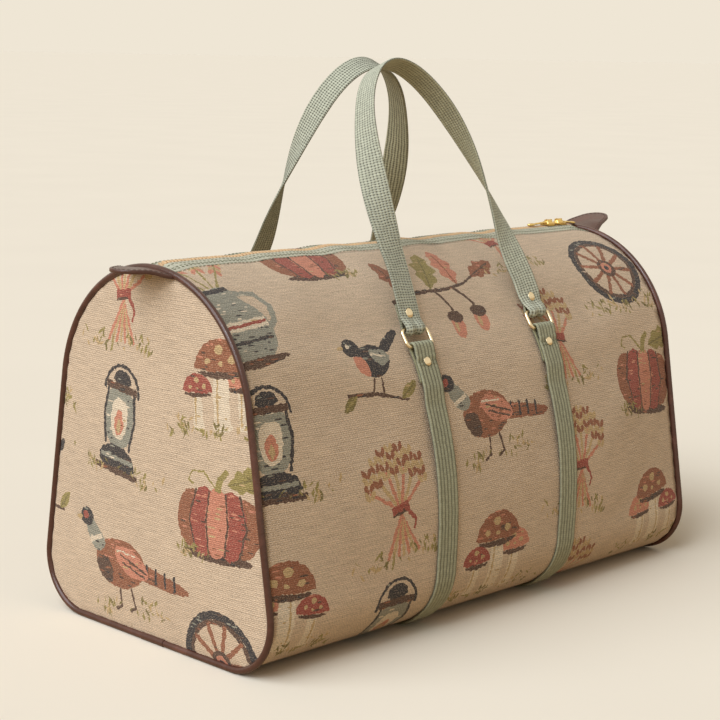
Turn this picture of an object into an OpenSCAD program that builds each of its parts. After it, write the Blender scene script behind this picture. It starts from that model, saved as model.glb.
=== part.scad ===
// Carpet bag: a soft weekender with a zipped top, piped ends and two webbing handles.
// It stands on the XY plane with its length along X and its front towards -Y.
// A cross-section is described by s, the distance along the cloth from the top centre
// down one side to the bottom centre. The front is drawn, and the back mirrors it.

/* [Body] */
// Length between the two end seams
bag_length = 500; // [400:5:620]
// Depth of an end panel across its bottom corners, seam to seam
bag_depth = 262; // [230:2:320]
// Height of an end panel, seam to seam
bag_height = 284; // [260:2:340]
// Radius of the domed top of an end panel
dome_radius = 108.5; // [95:0.5:120]
// Radius of the bottom corners of an end panel
corner_radius = 42; // [30:1:55]
// How far the full front and back swell past the end seams
side_swell = 18; // [8:1:26]
// How far the top rises past the end seams
top_swell = 3.2; // [1:0.1:6]
// How far an end panel swells outwards
end_swell = 8; // [2:0.5:14]
// Thickness of the tapestry with its backing
cloth_t = 2; // [1.5:0.1:3]
// Thickness of the padding between the tapestry and the lining
padding_t = 1.3; // [1.2:0.1:3]
// Thickness of the lining
lining_t = 0.8; // [0.5:0.1:1.5]
// Thickness of the loose base board
board_t = 3; // [2:0.5:5]

/* [Leather trim] */
// Diameter of the piping along the end seams
piping_d = 5.3; // [4:0.1:7]
// Width of an end tab at its seam
tab_width = 56; // [40:1:64]
// Length of an end tab past its seam
tab_length = 38; // [30:1:60]
// Radius of an end tab's rounded tip
tab_tip_radius = 13; // [8:0.5:16]
// Thickness of an end tab, two layers of leather
tab_t = 3; // [2:0.1:4]
// Upward tilt of the end tabs
tab_tilt = 7; // [0:1:18]

/* [Zip] */
// Visible width of each zip tape
tape_width = 14; // [8:0.5:16]
// Thickness of a zip tape
tape_t = 1; // [0.8:0.1:1.4]
// Room between an end seam and the end of the row of teeth
chain_inset = 13; // [10:0.5:40]
// Width of both rows of teeth together
chain_width = 7.6; // [6.5:0.1:9]
// Thickness of the teeth
chain_t = 2.6; // [2:0.1:3.2]
// Distance from one tooth to the next
tooth_pitch = 3.4; // [3:0.1:5]
// Width of the gap between the rows, where a slider's post runs
chain_gap = 1.2; // [1:0.1:1.6]
// Length of a slider
slider_length = 14; // [11:0.5:18]
// Distance of the right slider's tail from the end of the row of teeth
slider_room = 3.7; // [3.5:0.1:80]
// Gap between the noses of the two sliders
slider_gap = 0.8; // [0.6:0.1:4]
// Length of a pull, from its bar to its eye's far edge
pull_length = 29; // [22:1:36]
// Thickness of a pull
pull_t = 1.4; // [1:0.1:1.8]

/* [Webbing] */
// Width of the webbing
web_width = 22; // [20:0.5:28]
// Thickness of the webbing
web_t = 2.2; // [1.6:0.1:2.6]
// Distance between the two legs of a handle
leg_spacing = 148; // [110:2:200]
// Distance along the cloth from the zip's middle down to a ring's lower bar
ring_drop = 127; // [115:1:140]
// Length of the strap end that is folded down behind a ring
tuck_length = 26; // [22:1:34]
// Height of a handle from its rings' upper bars to its top
handle_rise = 218; // [190:1:260]
// How far the top of a handle leans sideways
handle_sway = 14; // [0:1:20]
// How far each leg of a handle draws inwards above its ring
handle_draw = 4.5; // [0:0.5:8]
// Width of a handle's folded ends, gathered to pass through the rings
handle_end_width = 19; // [16:0.5:20]
// Length of the handle end that is folded up over a ring
flap_length = 21; // [18:1:30]

/* [Metal] */
// Diameter of a ring's wire
wire_d = 2.8; // [2.4:0.1:3.4]
// Clear height inside a ring
ring_height = 11.9; // [10:0.2:16]
// Radius of a ring's corners, at the wire's middle
ring_corner = 3.9; // [2.6:0.1:4]
// Room on each side of the webbing inside a ring
ring_side_room = 1.5; // [1:0.1:3]
// Diameter of a rivet's cap
rivet_d = 8; // [6:0.5:9]
// Height of a rivet's cap
rivet_h = 1.4; // [1:0.1:2]
// Diameter of a rivet's post
rivet_post_d = 2.4; // [2:0.1:3]
// Distance of a rivet from the bar of its ring
rivet_drop = 12.5; // [11:0.5:16]

/* [Hidden] */
$fn = 48;

// Colours
tapestry_colour = "#b9a27f";
leather_colour = "#4a2e28";
webbing_colour = "#9aa68a";
tape_colour = "#8f9c84";
teeth_colour = "#d9a25c";
gold_colour = "#d8b868";
lining_colour = "#d8cbb2";
board_colour = "#6d5a48";

// Clearances
sewn_gap = 0.2;      // between two pieces that are sewn edge to edge
strap_gap = 0.45;    // between the cloth and a strap that lies along its swell
running_gap = 0.35;  // between a piece that moves and what carries it
layer_gap = 0.1;     // between two layers of webbing

// The end seam's outline: a dome, two leaning sides, two round corners and a flat bottom
piping_r = piping_d / 2;
seam_z = max(piping_r, web_t + strap_gap);
dome_centre = [0, seam_z + bag_height - dome_radius];
corner_centre = [bag_depth / 2 - corner_radius, seam_z + corner_radius];
centre_step = dome_centre - corner_centre;
side_angle = atan2(centre_step[1], centre_step[0])
    - acos((corner_radius - dome_radius) / norm(centre_step));
dome_length = dome_radius * (90 - side_angle) * PI / 180;
side_length = sqrt(pow(norm(centre_step), 2) - pow(dome_radius - corner_radius, 2));
corner_length = corner_radius * (90 + side_angle) * PI / 180;
side_end = dome_length + side_length;
corner_end = side_end + corner_length;
half_girth = corner_end + corner_centre[0];

// The swell: where along the section it starts and ends, and how it dies out towards the ends
swell_start = 0.68 * dome_length;
swell_end = side_end + 0.57 * corner_length;
swell_power = 1.3;
swell_fade = 3;
top_fall = 11;
panel_end = bag_length / 2 - piping_r - sewn_gap;

// Grid lines of the faceted cloth
cloth_columns = 16;
tape_columns = 24;
lining_columns = 10;
outline_steps = 30;
lining_steps = 20;

function clamp01(v) = min(1, max(0, v));
function smooth01(v) = let (c = clamp01(v)) c * c * (3 - 2 * c);
function spread(low, high, steps) = [for (i = [0:steps]) low + (high - low) * i / steps];
function reversed(list) = [for (i = [len(list) - 1:-1:0]) list[i]];

// Angle of the seam outline's outward normal, from level, at s
function seam_angle(s) =
    s < dome_length ? 90 - s / dome_radius * 180 / PI
    : s < side_end ? side_angle
    : s < corner_end ? side_angle - (s - side_end) / corner_radius * 180 / PI
    : -90;
function seam_normal(s) = let (a = seam_angle(s)) [cos(a), sin(a)];

// Point of the seam outline at s: how far out it is from the middle, and its height
function seam_point(s) = let (n = seam_normal(s))
    s < dome_length ? dome_centre + dome_radius * n
    : s < side_end ? dome_centre + dome_radius * n + (s - dome_length) * [n[1], -n[0]]
    : s < corner_end ? corner_centre + corner_radius * n
    : [corner_centre[0] - (s - corner_end), seam_z];

// How far the cloth swells out of the seam outline at x, s
function side_part(x, s) = let (u = clamp01((s - swell_start) / (swell_end - swell_start)))
    side_swell * pow(sin(180 * u), swell_power) * (1 - pow(abs(x) / panel_end, swell_fade));
function top_part(x, s) =
    top_swell * pow(cos(90 * clamp01(s / swell_start)), 2) * smooth01((panel_end - abs(x)) / top_fall);
function swell(x, s) = side_part(x, s) + top_part(x, s);

// Point of a section at x, lying at a distance from the cloth's outer face
function section_point(x, s, off) = seam_point(s) + (swell(x, s) + off) * seam_normal(s);
// Lean of the cloth from upright at x, s
function cloth_lean(x, s) = let (a = section_point(x, s - 1, 0), b = section_point(x, s + 1, 0))
    atan2(b[0] - a[0], a[1] - b[1]);
function front_point(x, s, off) = let (p = section_point(x, s, off)) [x, -p[0], p[1]];
// The same for a path q that runs down the front, under the bottom and up the back
function round_point(x, q, off) = let (p = section_point(x, min(q, 2 * half_girth - q), off))
    [x, q > half_girth ? p[0] : -p[0], p[1]];

// Triangles of a grid of m by n points and of its inner twin, joined by a rim
function quad(a, b, c, d) = [[a, b, c], [a, c, d]];
function grid_faces(m, n) = let (inner = m * n) [
    for (i = [0:m - 2], j = [0:n - 2]) let (a = i * n + j, b = a + n)
        each concat(quad(a, b, b + 1, a + 1), quad(inner + a + 1, inner + b + 1, inner + b, inner + a)),
    for (j = [0:n - 2]) let (a = j, b = (m - 1) * n + j)
        each concat(quad(a, a + 1, inner + a + 1, inner + a), quad(b + 1, b, inner + b, inner + b + 1)),
    for (i = [0:m - 2]) let (a = i * n, b = a + n, c = a + n - 1, d = b + n - 1)
        each concat(quad(b, a, inner + a, inner + b), quad(c, d, inner + d, inner + c))];

// A sheet of cloth over the columns xs and the lines qs, between two distances from the outer face
module sheet(xs, qs, inner, outer) {
    polyhedron(
        points = [for (off = [outer, inner], x = xs, q = qs) round_point(x, q, off)],
        faces = grid_faces(len(xs), len(qs)));
}

// Lines along the section between two distances, close together where it is round
function section_lines(from, to) = let (
        bends = [swell_start, dome_length, side_end, corner_end],
        marks = [from, for (s = bends) if (s > from && s < to) s, to])
    [from, for (i = [0:len(marks) - 2]) let (
            curved = abs(seam_angle(marks[i + 1] - 0.01) - seam_angle(marks[i] + 0.01)),
            steps = max(1, ceil(max(curved / 9, (marks[i + 1] - marks[i]) / 24))))
        each [for (k = [1:steps]) marks[i] + (marks[i + 1] - marks[i]) * k / steps]];

// Columns along the bag, with one on each side of the strips where the top falls to the end seams
function columns(end, count) = [-end, each spread(-end + top_fall, end - top_fall, count), end];

// A closed ring of points of the seam outline, drawn in by a distance and shrunk about its middle
outline_middle = [0, seam_z + bag_height * 0.45];
function outline_ring(inset, share, steps) = let (
        half = [for (s = spread(0, half_girth, steps)) seam_point(s) - inset * seam_normal(s)],
        whole = concat(half, [for (i = [steps - 1:-1:1]) [-half[i][0], half[i][1]]]))
    [for (p = whole) outline_middle + (p - outline_middle) * share];

// A domed panel that fills the seam outline, drawn about x = 0 and swelling towards +X
dome_shares = [1, 0.88, 0.7, 0.45];
module domed_panel(inset, t, steps) {
    around = 2 * steps;
    rings = len(dome_shares);
    side = rings * around + 1;
    function at(face, ring, i) = face * side + ring * around + i % around;
    function middle(face) = face * side + rings * around;
    polyhedron(
        points = [for (face = [0, 1]) let (x0 = face == 0 ? t / 2 : -t / 2) each concat(
            [for (k = dome_shares, p = outline_ring(inset, k, steps))
                [x0 + end_swell * (1 - k * k), p[0], p[1]]],
            [[x0 + end_swell, outline_middle[0], outline_middle[1]]])],
        faces = [for (i = [0:around - 1]) each concat(
            [for (r = [0:rings - 2]) each concat(
                quad(at(0, r, i), at(0, r, i + 1), at(0, r + 1, i + 1), at(0, r + 1, i)),
                quad(at(1, r + 1, i), at(1, r + 1, i + 1), at(1, r, i + 1), at(1, r, i)))],
            [[at(0, rings - 1, i), at(0, rings - 1, i + 1), middle(0)],
             [at(1, rings - 1, i + 1), at(1, rings - 1, i), middle(1)]],
            quad(at(0, 0, i + 1), at(0, 0, i), at(1, 0, i), at(1, 0, i + 1)))]);
}

// Turns a drawing in the plane of a section into place: its x lies along Y and its y along Z
module across(x) translate([x, 0, 0]) rotate([90, 0, 90]) children();
module mirrored_back() mirror([0, 1, 0]) children();
module mirrored_left() mirror([1, 0, 0]) children();

// Front and back panels
leg_x = leg_spacing / 2;
panel_top = chain_width / 2 + sewn_gap + tape_width + sewn_gap;
rivet_hole_d = rivet_post_d + 2 * layer_gap;
rivet_s = ring_drop + rivet_drop;
module front_panel() color(tapestry_colour) difference() {
    sheet(columns(panel_end, cloth_columns), section_lines(panel_top, half_girth - sewn_gap / 2),
        -cloth_t, 0);
    for (x = [-leg_x, leg_x]) at_strap_rivet(x) cylinder(d = rivet_hole_d, h = 4 * cloth_t, center = true);
}
module back_panel() mirrored_back() front_panel();

// End panels and the piping round them
module right_end_panel() color(tapestry_colour)
    translate([bag_length / 2, 0, 0]) domed_panel(piping_r + sewn_gap, cloth_t, outline_steps);
module left_end_panel() mirrored_left() right_end_panel();

piping_sides = 12;
piping_half = section_lines(0, half_girth);
piping_loop = concat(
    [for (s = piping_half) [seam_point(s), seam_normal(s)]],
    [for (i = [len(piping_half) - 2:-1:1]) let (s = piping_half[i], p = seam_point(s), n = seam_normal(s))
        [[-p[0], p[1]], [-n[0], n[1]]]]);
module right_piping() {
    n = len(piping_loop);
    function at(i, k) = (i % n) * piping_sides + k % piping_sides;
    color(leather_colour) polyhedron(
        points = [for (st = piping_loop, k = [0:piping_sides - 1]) let (
                turn = 360 * k / piping_sides,
                p = st[0] + piping_r * cos(turn) * st[1])
            [bag_length / 2 + piping_r * sin(turn), p[0], p[1]]],
        faces = [for (i = [0:n - 1], k = [0:piping_sides - 1])
            each quad(at(i, k + 1), at(i, k), at(i + 1, k), at(i + 1, k + 1))]);
}
module left_piping() mirrored_left() right_piping();

// Lining and base board
lining_outer = -(cloth_t + padding_t);
lining_inner = lining_outer - lining_t;
lining_end = panel_end - sewn_gap;
module lining() color(lining_colour)
    sheet(columns(lining_end, lining_columns),
        let (half = section_lines(panel_top + 2, half_girth))
            concat(half, [for (q = reversed(half)) if (q < half_girth) 2 * half_girth - q]),
        lining_inner, lining_outer);
module right_end_lining() color(lining_colour)
    translate([lining_end - padding_t, 0, 0])
        domed_panel(2 * sewn_gap - lining_inner, lining_t, lining_steps);
module left_end_lining() mirrored_left() right_end_lining();

board_length = 2 * lining_end - 50;
board_width = 2 * corner_centre[0] - 8;
board_corner = 20;
module base_board() color(board_colour)
    translate([0, 0, seam_z - lining_inner + sewn_gap]) linear_extrude(board_t) {
        square([board_length - 2 * board_corner, board_width], center = true);
        square([board_length, board_width - 2 * board_corner], center = true);
        for (x = [-1, 1], y = [-1, 1])
            translate([x * (board_length / 2 - board_corner), y * (board_width / 2 - board_corner)])
                circle(r = board_corner);
    }

// Leather tabs at the ends of the zip, sewn in just below the top of the piping
tab_dip = tab_width * tab_width / (8 * dome_radius);
tab_waist = 0.8 * tab_width;
tab_seam = [bag_length / 2 + piping_r + sewn_gap, seam_z + bag_height - tab_dip - tab_t / 2];
module right_tab() color(leather_colour)
    translate([tab_seam[0], 0, tab_seam[1]]) rotate([0, -tab_tilt, 0])
        translate([tab_t / 2 * sin(tab_tilt), 0, -tab_t / 2]) linear_extrude(tab_t) hull() {
            translate([0, -tab_width / 2]) square([1, tab_width]);
            translate([tab_length / 2, 0]) square([1, tab_waist], center = true);
            translate([tab_length - tab_tip_radius, 0]) circle(r = tab_tip_radius, $fn = 32);
        }
module left_tab() mirrored_left() right_tab();

// Zip tapes, sewn in between the panels, with a row of teeth along each inner edge
chain_length = bag_length - 2 * chain_inset;
tape_start = chain_width / 2 + sewn_gap;
chain_z = seam_z + bag_height + top_swell - tape_t / 2;
module front_zip_tape() color(tape_colour)
    sheet(columns(panel_end, tape_columns), spread(tape_start, tape_start + tape_width, 2), -tape_t, 0);
module back_zip_tape() mirrored_back() front_zip_tape();

tooth_width = 0.6 * tooth_pitch;
bead_width = 1.1;
tooth_root = bead_width - chain_width / 2;
tooth_count = floor(chain_length / tooth_pitch);
module front_zip_teeth() color(teeth_colour)
    translate([0, 0, chain_z - chain_t / 2]) linear_extrude(chain_t) polygon(concat(
        [[chain_length / 2, -chain_width / 2], [-chain_length / 2, -chain_width / 2]],
        [for (i = [0:tooth_count - 1]) let (x = (i - tooth_count / 2) * tooth_pitch, far = x + tooth_width)
            each [[x, tooth_root], [x, -chain_gap / 2], [far, -chain_gap / 2], [far, tooth_root]]],
        [[chain_length / 2, tooth_root]]));
module back_zip_teeth() mirrored_back() front_zip_teeth();

stop_length = 3.5;
module zip_end_stops() color(gold_colour) for (m = [0, 1]) mirror([m, 0, 0])
    translate([chain_length / 2 + sewn_gap, -chain_width / 2, chain_z - chain_t / 2])
        cube([stop_length, chain_width, chain_t]);

// Sliders: two plates joined by a post that runs between the rows, with a bridge for the pull
plate_t = 1.4;
plate_half = chain_width / 2 + 1.6;
plate_z = chain_t / 2 + running_gap;
lip_width = 1.1;
lip_z = tape_t / 2 + running_gap;
post_length = 5;
bridge_length = 8;
bridge_width = 2.2;
bridge_t = 1;
bar_r = 0.8;
bar_z = plate_z + plate_t + bar_r + running_gap;
bridge_top = bar_z + bar_r + running_gap + bridge_t;
tail_trim = 0.4;
tail_length = 2;
nose_length = 4;
module slider_plate() linear_extrude(plate_t) let (l = slider_length / 2, h = plate_half)
    for (m = [0, 1]) mirror([0, m, 0]) polygon([[-l, 0], [-l, h - 3 * tail_trim],
        [tail_length - l, h - tail_trim], [l - nose_length, h], [l, h - nose_length / 2], [l, 0]]);
// A slider at the chain's middle, its nose towards +X
module slider() {
    for (m = [0, 1]) mirror([0, 0, m]) {
        translate([0, 0, plate_z]) slider_plate();
        for (n = [0, 1]) mirror([0, n, 0])
            translate([tail_length - slider_length / 2, plate_half - tail_trim - lip_width, lip_z])
                cube([slider_length - tail_length - nose_length, lip_width, plate_z - lip_z]);
    }
    translate([slider_length / 2 - post_length - 1, running_gap - chain_gap / 2, -plate_z])
        cube([post_length, chain_gap - 2 * running_gap, 2 * plate_z]);
    translate([0, bridge_width / 2, 0]) rotate([90, 0, 0]) linear_extrude(bridge_width) difference() {
        translate([-bridge_length / 2, plate_z]) square([bridge_length, bridge_top - plate_z]);
        translate([bridge_t - bridge_length / 2, plate_z + plate_t])
            square([bridge_length - 2 * bridge_t, bar_z + bar_r + running_gap - plate_z - plate_t]);
    }
}
right_slider_x = chain_length / 2 - slider_room - slider_length / 2;
left_slider_x = right_slider_x - slider_length - slider_gap;
module left_slider() color(gold_colour) translate([left_slider_x, 0, chain_z]) slider();
module right_slider() color(gold_colour) translate([right_slider_x, 0, chain_z]) mirrored_left() slider();

// Pulls: a bar in the slider's bridge, two arms, a blade and an eye, lying down to the chain
pull_half = 3.2;
arm_width = 1.5;
arm_end = slider_length / 2 + 1;
eye_r = 4.2;
eye_hole_r = 2.2;
eye_x = pull_length - eye_r;
pull_tilt = 1.5;
module pull() rotate([0, -pull_tilt, 0]) {
    rotate([90, 0, 0]) cylinder(r = bar_r, h = 2 * pull_half, center = true, $fn = 24);
    translate([0, 0, -pull_t / 2]) linear_extrude(pull_t) difference() {
        union() {
            for (m = [0, 1]) mirror([0, m, 0])
                translate([-arm_end, pull_half - arm_width]) square([arm_end, arm_width]);
            translate([-eye_x, -pull_half]) square([eye_x - arm_end, 2 * pull_half]);
            translate([-eye_x, 0]) circle(r = eye_r);
        }
        translate([-eye_x, 0]) circle(r = eye_hole_r);
    }
}
module left_pull() color(gold_colour)
    translate([left_slider_x, 0, chain_z + bar_z]) pull();
module right_pull() color(gold_colour)
    translate([right_slider_x, 0, chain_z + bar_z]) mirrored_left() pull();

// Where a ring lies: its lower bar clear of the cloth by a folded strap, leaning with the cloth
wire_r = wire_d / 2;
fold_r = wire_r + running_gap + web_t / 2;
lower_bar_off = strap_gap + web_t / 2 + fold_r;
lower_bar = section_point(leg_x, ring_drop, lower_bar_off);
ring_lean = cloth_lean(leg_x, ring_drop);
ring_pitch = ring_height + wire_d;
upper_bar = lower_bar + ring_pitch * [-sin(ring_lean), cos(ring_lean)];
ring_width = web_width + 2 * ring_side_room + wire_d;

// Ribbon of webbing along a path in the plane of a section, as an outline
function along(path, i) = let (
        step = path[min(i + 1, len(path) - 1)] - path[max(i - 1, 0)])
    step / norm(step);
function ribbon(path) = let (
        sides = [for (i = [0:len(path) - 1]) let (t = along(path, i)) web_t / 2 * [-t[1], t[0]]])
    concat([for (i = [0:len(path) - 1]) path[i] + sides[i]],
        reversed([for (i = [0:len(path) - 1]) path[i] - sides[i]]));

// Lower straps: tucked behind the ring, over its lower bar, then down the cloth to the bottom seam
single_off = strap_gap + web_t / 2;
double_off = single_off + web_t + layer_gap;
fold_end = ring_drop + 9;
tuck_end = ring_drop + tuck_length;
settle_from = tuck_end + 2;
settle_end = tuck_end + 20;
function strap_off(s) =
    s < fold_end ? double_off + (single_off + 2 * fold_r - double_off)
        * (1 - smooth01((s - ring_drop) / (fold_end - ring_drop)))
    : double_off - (double_off - single_off) * smooth01((s - settle_from) / (settle_end - settle_from));
fold_out = [cos(ring_lean), sin(ring_lean)];
fold_up = [-sin(ring_lean), cos(ring_lean)];
strap_path = concat(
    [for (s = spread(tuck_end, ring_drop + 4, 5)) section_point(leg_x, s, single_off)],
    [for (a = spread(0, 180, 12)) lower_bar + fold_r * (sin(a) * fold_up - cos(a) * fold_out)],
    [for (s = spread(ring_drop + 3, settle_end, 16)) section_point(leg_x, s, strap_off(s))],
    [for (s = section_lines(settle_end, half_girth - sewn_gap)) if (s > settle_end)
        section_point(leg_x, s, single_off)]);
module at_strap_rivet(x) let (p = front_point(leg_x, rivet_s, 0), lean = cloth_lean(leg_x, rivet_s))
    translate([x, p[1], p[2]]) rotate([90 - lean, 0, 0]) children();
module strap(x) color(webbing_colour) difference() {
    across(x - web_width / 2) linear_extrude(web_width)
        polygon([for (p = ribbon(strap_path)) [-p[0], p[1]]]);
    at_strap_rivet(x) cylinder(d = rivet_hole_d, h = 8 * web_t, center = true);
}
module front_left_strap() strap(-leg_x);
module front_right_strap() strap(leg_x);
module back_left_strap() mirrored_back() strap(-leg_x);
module back_right_strap() mirrored_back() strap(leg_x);

// A rivet along +Z: a domed cap on the outer face, a post, and a burr behind the inner face
burr_t = 0.6;
burr_d = 6;
module rivet(outer, inner) {
    cap_r = (rivet_d * rivet_d / 4 + rivet_h * rivet_h) / (2 * rivet_h);
    translate([0, 0, outer]) intersection() {
        translate([0, 0, rivet_h - cap_r]) sphere(r = cap_r);
        cylinder(d = rivet_d, h = rivet_h);
    }
    translate([0, 0, inner]) cylinder(d = rivet_post_d, h = outer - inner + 0.1);
    translate([0, 0, inner - burr_t]) cylinder(d = burr_d, h = burr_t);
}
rivet_seat = 0.25;   // clearance of a cap over the slightly curved webbing below it
burr_seat = 0.45;    // clearance of a burr over the cloth, whose facets cut inside its curve
module strap_rivets() color(gold_colour) for (m = [0, 1]) mirror([0, m, 0]) for (x = [-leg_x, leg_x])
    at_strap_rivet(x) rivet(double_off + web_t / 2 + rivet_seat, -cloth_t - burr_seat);

// Rings: a bent wire round the folds of a strap and of a handle
module ring_wire() let (w = ring_width / 2 - ring_corner, h = ring_pitch / 2 - ring_corner) {
    for (m = [0, 1]) mirror([m, 0, 0]) translate([ring_width / 2, 0, -h]) cylinder(r = wire_r, h = 2 * h);
    for (m = [0, 1]) mirror([0, 0, m]) translate([-w, 0, ring_pitch / 2]) rotate([0, 90, 0])
        cylinder(r = wire_r, h = 2 * w);
    for (m = [0, 1], n = [0, 1]) mirror([m, 0, 0]) mirror([0, 0, n]) translate([w, 0, h]) rotate([90, 0, 0])
        rotate_extrude(angle = 90) translate([ring_corner, 0]) circle(r = wire_r);
}
module ring(x) color(gold_colour) translate([x, -lower_bar[0], lower_bar[1]]) rotate([-ring_lean, 0, 0])
    translate([0, 0, ring_pitch / 2]) ring_wire();
module front_left_ring() ring(-leg_x);
module front_right_ring() ring(leg_x);
module back_left_ring() mirrored_back() ring(-leg_x);
module back_right_ring() mirrored_back() ring(leg_x);

// Handles: each leans in until its top meets the other handle's at the middle of the bag.
// Points are placed from a ring's upper bar by f, out of the handle's plane, and u, up it.
handle_gap = 0.9;
handle_inset = web_width / 2 + fold_r;
handle_lean = asin((upper_bar[0] - handle_gap) / norm([handle_rise, handle_inset]))
    - atan2(handle_inset, handle_rise);
handle_up = [0, sin(handle_lean), cos(handle_lean)];
handle_out = [0, -cos(handle_lean), sin(handle_lean)];
function handle_point(x, f, u) = [x, -upper_bar[0], upper_bar[1]] + f * handle_out + u * handle_up;

arch_power = 0.66;
arch_start = 3;
twist_from = 39;
twist_to = 188;
draw_to = 60;
function arch(a) = let (
        u = handle_rise * pow(sin(a), arch_power),
        half = leg_x - handle_draw * smooth01(u / draw_to))
    [-half * cos(a) - handle_sway * sin(a), u];
// Width of a handle's webbing at the height u above its rings
gather_from = 4;
gather_to = 30;
function handle_width(u) = handle_end_width
    + (web_width - handle_end_width) * smooth01((u - gather_from) / (gather_to - gather_from));
// A station is a point of the webbing's middle, its width as a vector and the way its face looks
function fold_station(x, f, u, angle) = [handle_point(x, f, u), [sign(x) * handle_width(u), 0, 0],
    cos(angle) * handle_out + sin(angle) * handle_up];
function arch_station(a) = let (
        p = arch(a), step = arch(a + 0.5) - arch(a - 0.5), t = step / norm(step),
        turn = 90 * smooth01((p[1] - twist_from) / (twist_to - twist_from)),
        tangent = t[0] * [1, 0, 0] + t[1] * handle_up,
        outward = -t[1] * [1, 0, 0] + t[0] * handle_up,
        face = cos(turn) * handle_out + sin(turn) * outward)
    [handle_point(p[0], -fold_r, p[1]), handle_width(p[1]) * cross(face, tangent), face];
// The folded end at a leg: its flap comes down over the leg, then goes under the bar and up behind it
flap_f = web_t + layer_gap - fold_r;
flap_from = 9;
function flap_stations(x) = concat(
    [for (u = spread(flap_length, flap_from, 2)) fold_station(x, flap_f, u, 180)],
    [for (k = [0.25, 0.5, 0.75])
        fold_station(x, flap_f + smooth01(k) * (fold_r - flap_f), flap_from * (1 - k), 180)],
    [for (a = spread(0, -180, 10)) fold_station(x, fold_r * cos(a), fold_r * sin(a), a + 180)]);
handle_stations = concat(
    flap_stations(-leg_x),
    [for (a = spread(arch_start, 180 - arch_start, 52)) arch_station(a)],
    reversed(flap_stations(leg_x)));
function web_corners(st) = let (w = st[1] / 2, t = web_t / 2 * st[2])
    [st[0] - w + t, st[0] + w + t, st[0] + w - t, st[0] - w - t];
module webbing(stations) {
    n = len(stations);
    polyhedron(
        points = [for (st = stations) each web_corners(st)],
        faces = concat(
            [for (i = [0:n - 2], k = [0:3]) let (a = 4 * i + k, b = 4 * i + (k + 1) % 4)
                each quad(a, b, b + 4, a + 4)],
            quad(3, 2, 1, 0), quad(4 * n - 4, 4 * n - 3, 4 * n - 2, 4 * n - 1)));
}
module at_handle_rivet(x) let (p = handle_point(x, 0, rivet_drop))
    translate(p) rotate([90 - handle_lean, 0, 0]) children();
module front_handle() color(webbing_colour) difference() {
    webbing(handle_stations);
    for (x = [-leg_x, leg_x]) at_handle_rivet(x) cylinder(d = rivet_hole_d, h = 8 * web_t, center = true);
}
module back_handle() mirrored_back() front_handle();
module front_handle_rivets() color(gold_colour) for (x = [-leg_x, leg_x])
    at_handle_rivet(x) rivet(flap_f + web_t / 2 + layer_gap, -fold_r - web_t / 2 - layer_gap);
module back_handle_rivets() mirrored_back() front_handle_rivets();

front_panel();
back_panel();
left_end_panel();
right_end_panel();
left_piping();
right_piping();
lining();
left_end_lining();
right_end_lining();
base_board();
left_tab();
right_tab();
front_zip_tape();
back_zip_tape();
front_zip_teeth();
back_zip_teeth();
zip_end_stops();
left_slider();
right_slider();
left_pull();
right_pull();
front_left_strap();
front_right_strap();
back_left_strap();
back_right_strap();
strap_rivets();
front_left_ring();
front_right_ring();
back_left_ring();
back_right_ring();
front_handle();
back_handle();
front_handle_rivets();
back_handle_rivets();
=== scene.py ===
"""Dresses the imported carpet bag: printed cloth, leather, webbing, zip, metal and the stage round it."""
import math
from functools import partial

import bmesh
import bpy
import numpy as np
from mathutils import Matrix, Vector
from mathutils.geometry import delaunay_2d_cdt


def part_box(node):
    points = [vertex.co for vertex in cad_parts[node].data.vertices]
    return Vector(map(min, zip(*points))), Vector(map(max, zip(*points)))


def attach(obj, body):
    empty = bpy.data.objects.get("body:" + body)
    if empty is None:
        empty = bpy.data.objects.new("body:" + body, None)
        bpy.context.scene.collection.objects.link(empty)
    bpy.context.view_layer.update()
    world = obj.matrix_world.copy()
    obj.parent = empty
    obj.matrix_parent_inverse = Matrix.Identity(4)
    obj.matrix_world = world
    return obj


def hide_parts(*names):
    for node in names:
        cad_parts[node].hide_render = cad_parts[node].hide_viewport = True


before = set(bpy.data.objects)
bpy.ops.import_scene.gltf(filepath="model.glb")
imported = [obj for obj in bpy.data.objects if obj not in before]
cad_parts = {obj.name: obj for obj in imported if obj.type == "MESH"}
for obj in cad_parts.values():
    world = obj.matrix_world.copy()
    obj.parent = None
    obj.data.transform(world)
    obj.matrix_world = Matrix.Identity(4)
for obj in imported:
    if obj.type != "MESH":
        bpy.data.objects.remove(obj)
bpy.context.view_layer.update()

bl_info = {
    "name": "Carpet bag",
    "version": (1, 0, 0),
    "blender": (4, 5, 0),
    "location": "View3D > Sidebar > Carpet bag",
    "description": "Dresses the packed parts of a carpet bag in cloth, leather, webbing and metal",
    "category": "Object",
}

MM = 0.001
PI = math.pi


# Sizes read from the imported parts, in millimetres

def node_box(node):
    """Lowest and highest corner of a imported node, in millimetres."""
    low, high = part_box(node)
    return np.array(low) / MM, np.array(high) / MM


PIPING_LOW, PIPING_HIGH = node_box("right_piping")
PIPING_R = (PIPING_HIGH[0] - PIPING_LOW[0]) / 2
SEAM_X = (PIPING_HIGH[0] + PIPING_LOW[0]) / 2
SEAM_Z = PIPING_LOW[2] + PIPING_R
BAG_DEPTH = PIPING_HIGH[1] - PIPING_LOW[1] - 2 * PIPING_R
BAG_HEIGHT = PIPING_HIGH[2] - PIPING_LOW[2] - 2 * PIPING_R
PANEL_END = node_box("front_panel")[1][0]
STRAP_LOW, STRAP_HIGH = node_box("front_right_strap")
LEG_X = (STRAP_LOW[0] + STRAP_HIGH[0]) / 2
WEB_WIDTH = STRAP_HIGH[0] - STRAP_LOW[0]
TEETH_LOW, TEETH_HIGH = node_box("front_zip_teeth")
CHAIN_Z = (TEETH_LOW[2] + TEETH_HIGH[2]) / 2
TAB_LOW, TAB_HIGH = node_box("right_tab")
TAB_WIDTH = TAB_HIGH[1] - TAB_LOW[1]

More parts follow.
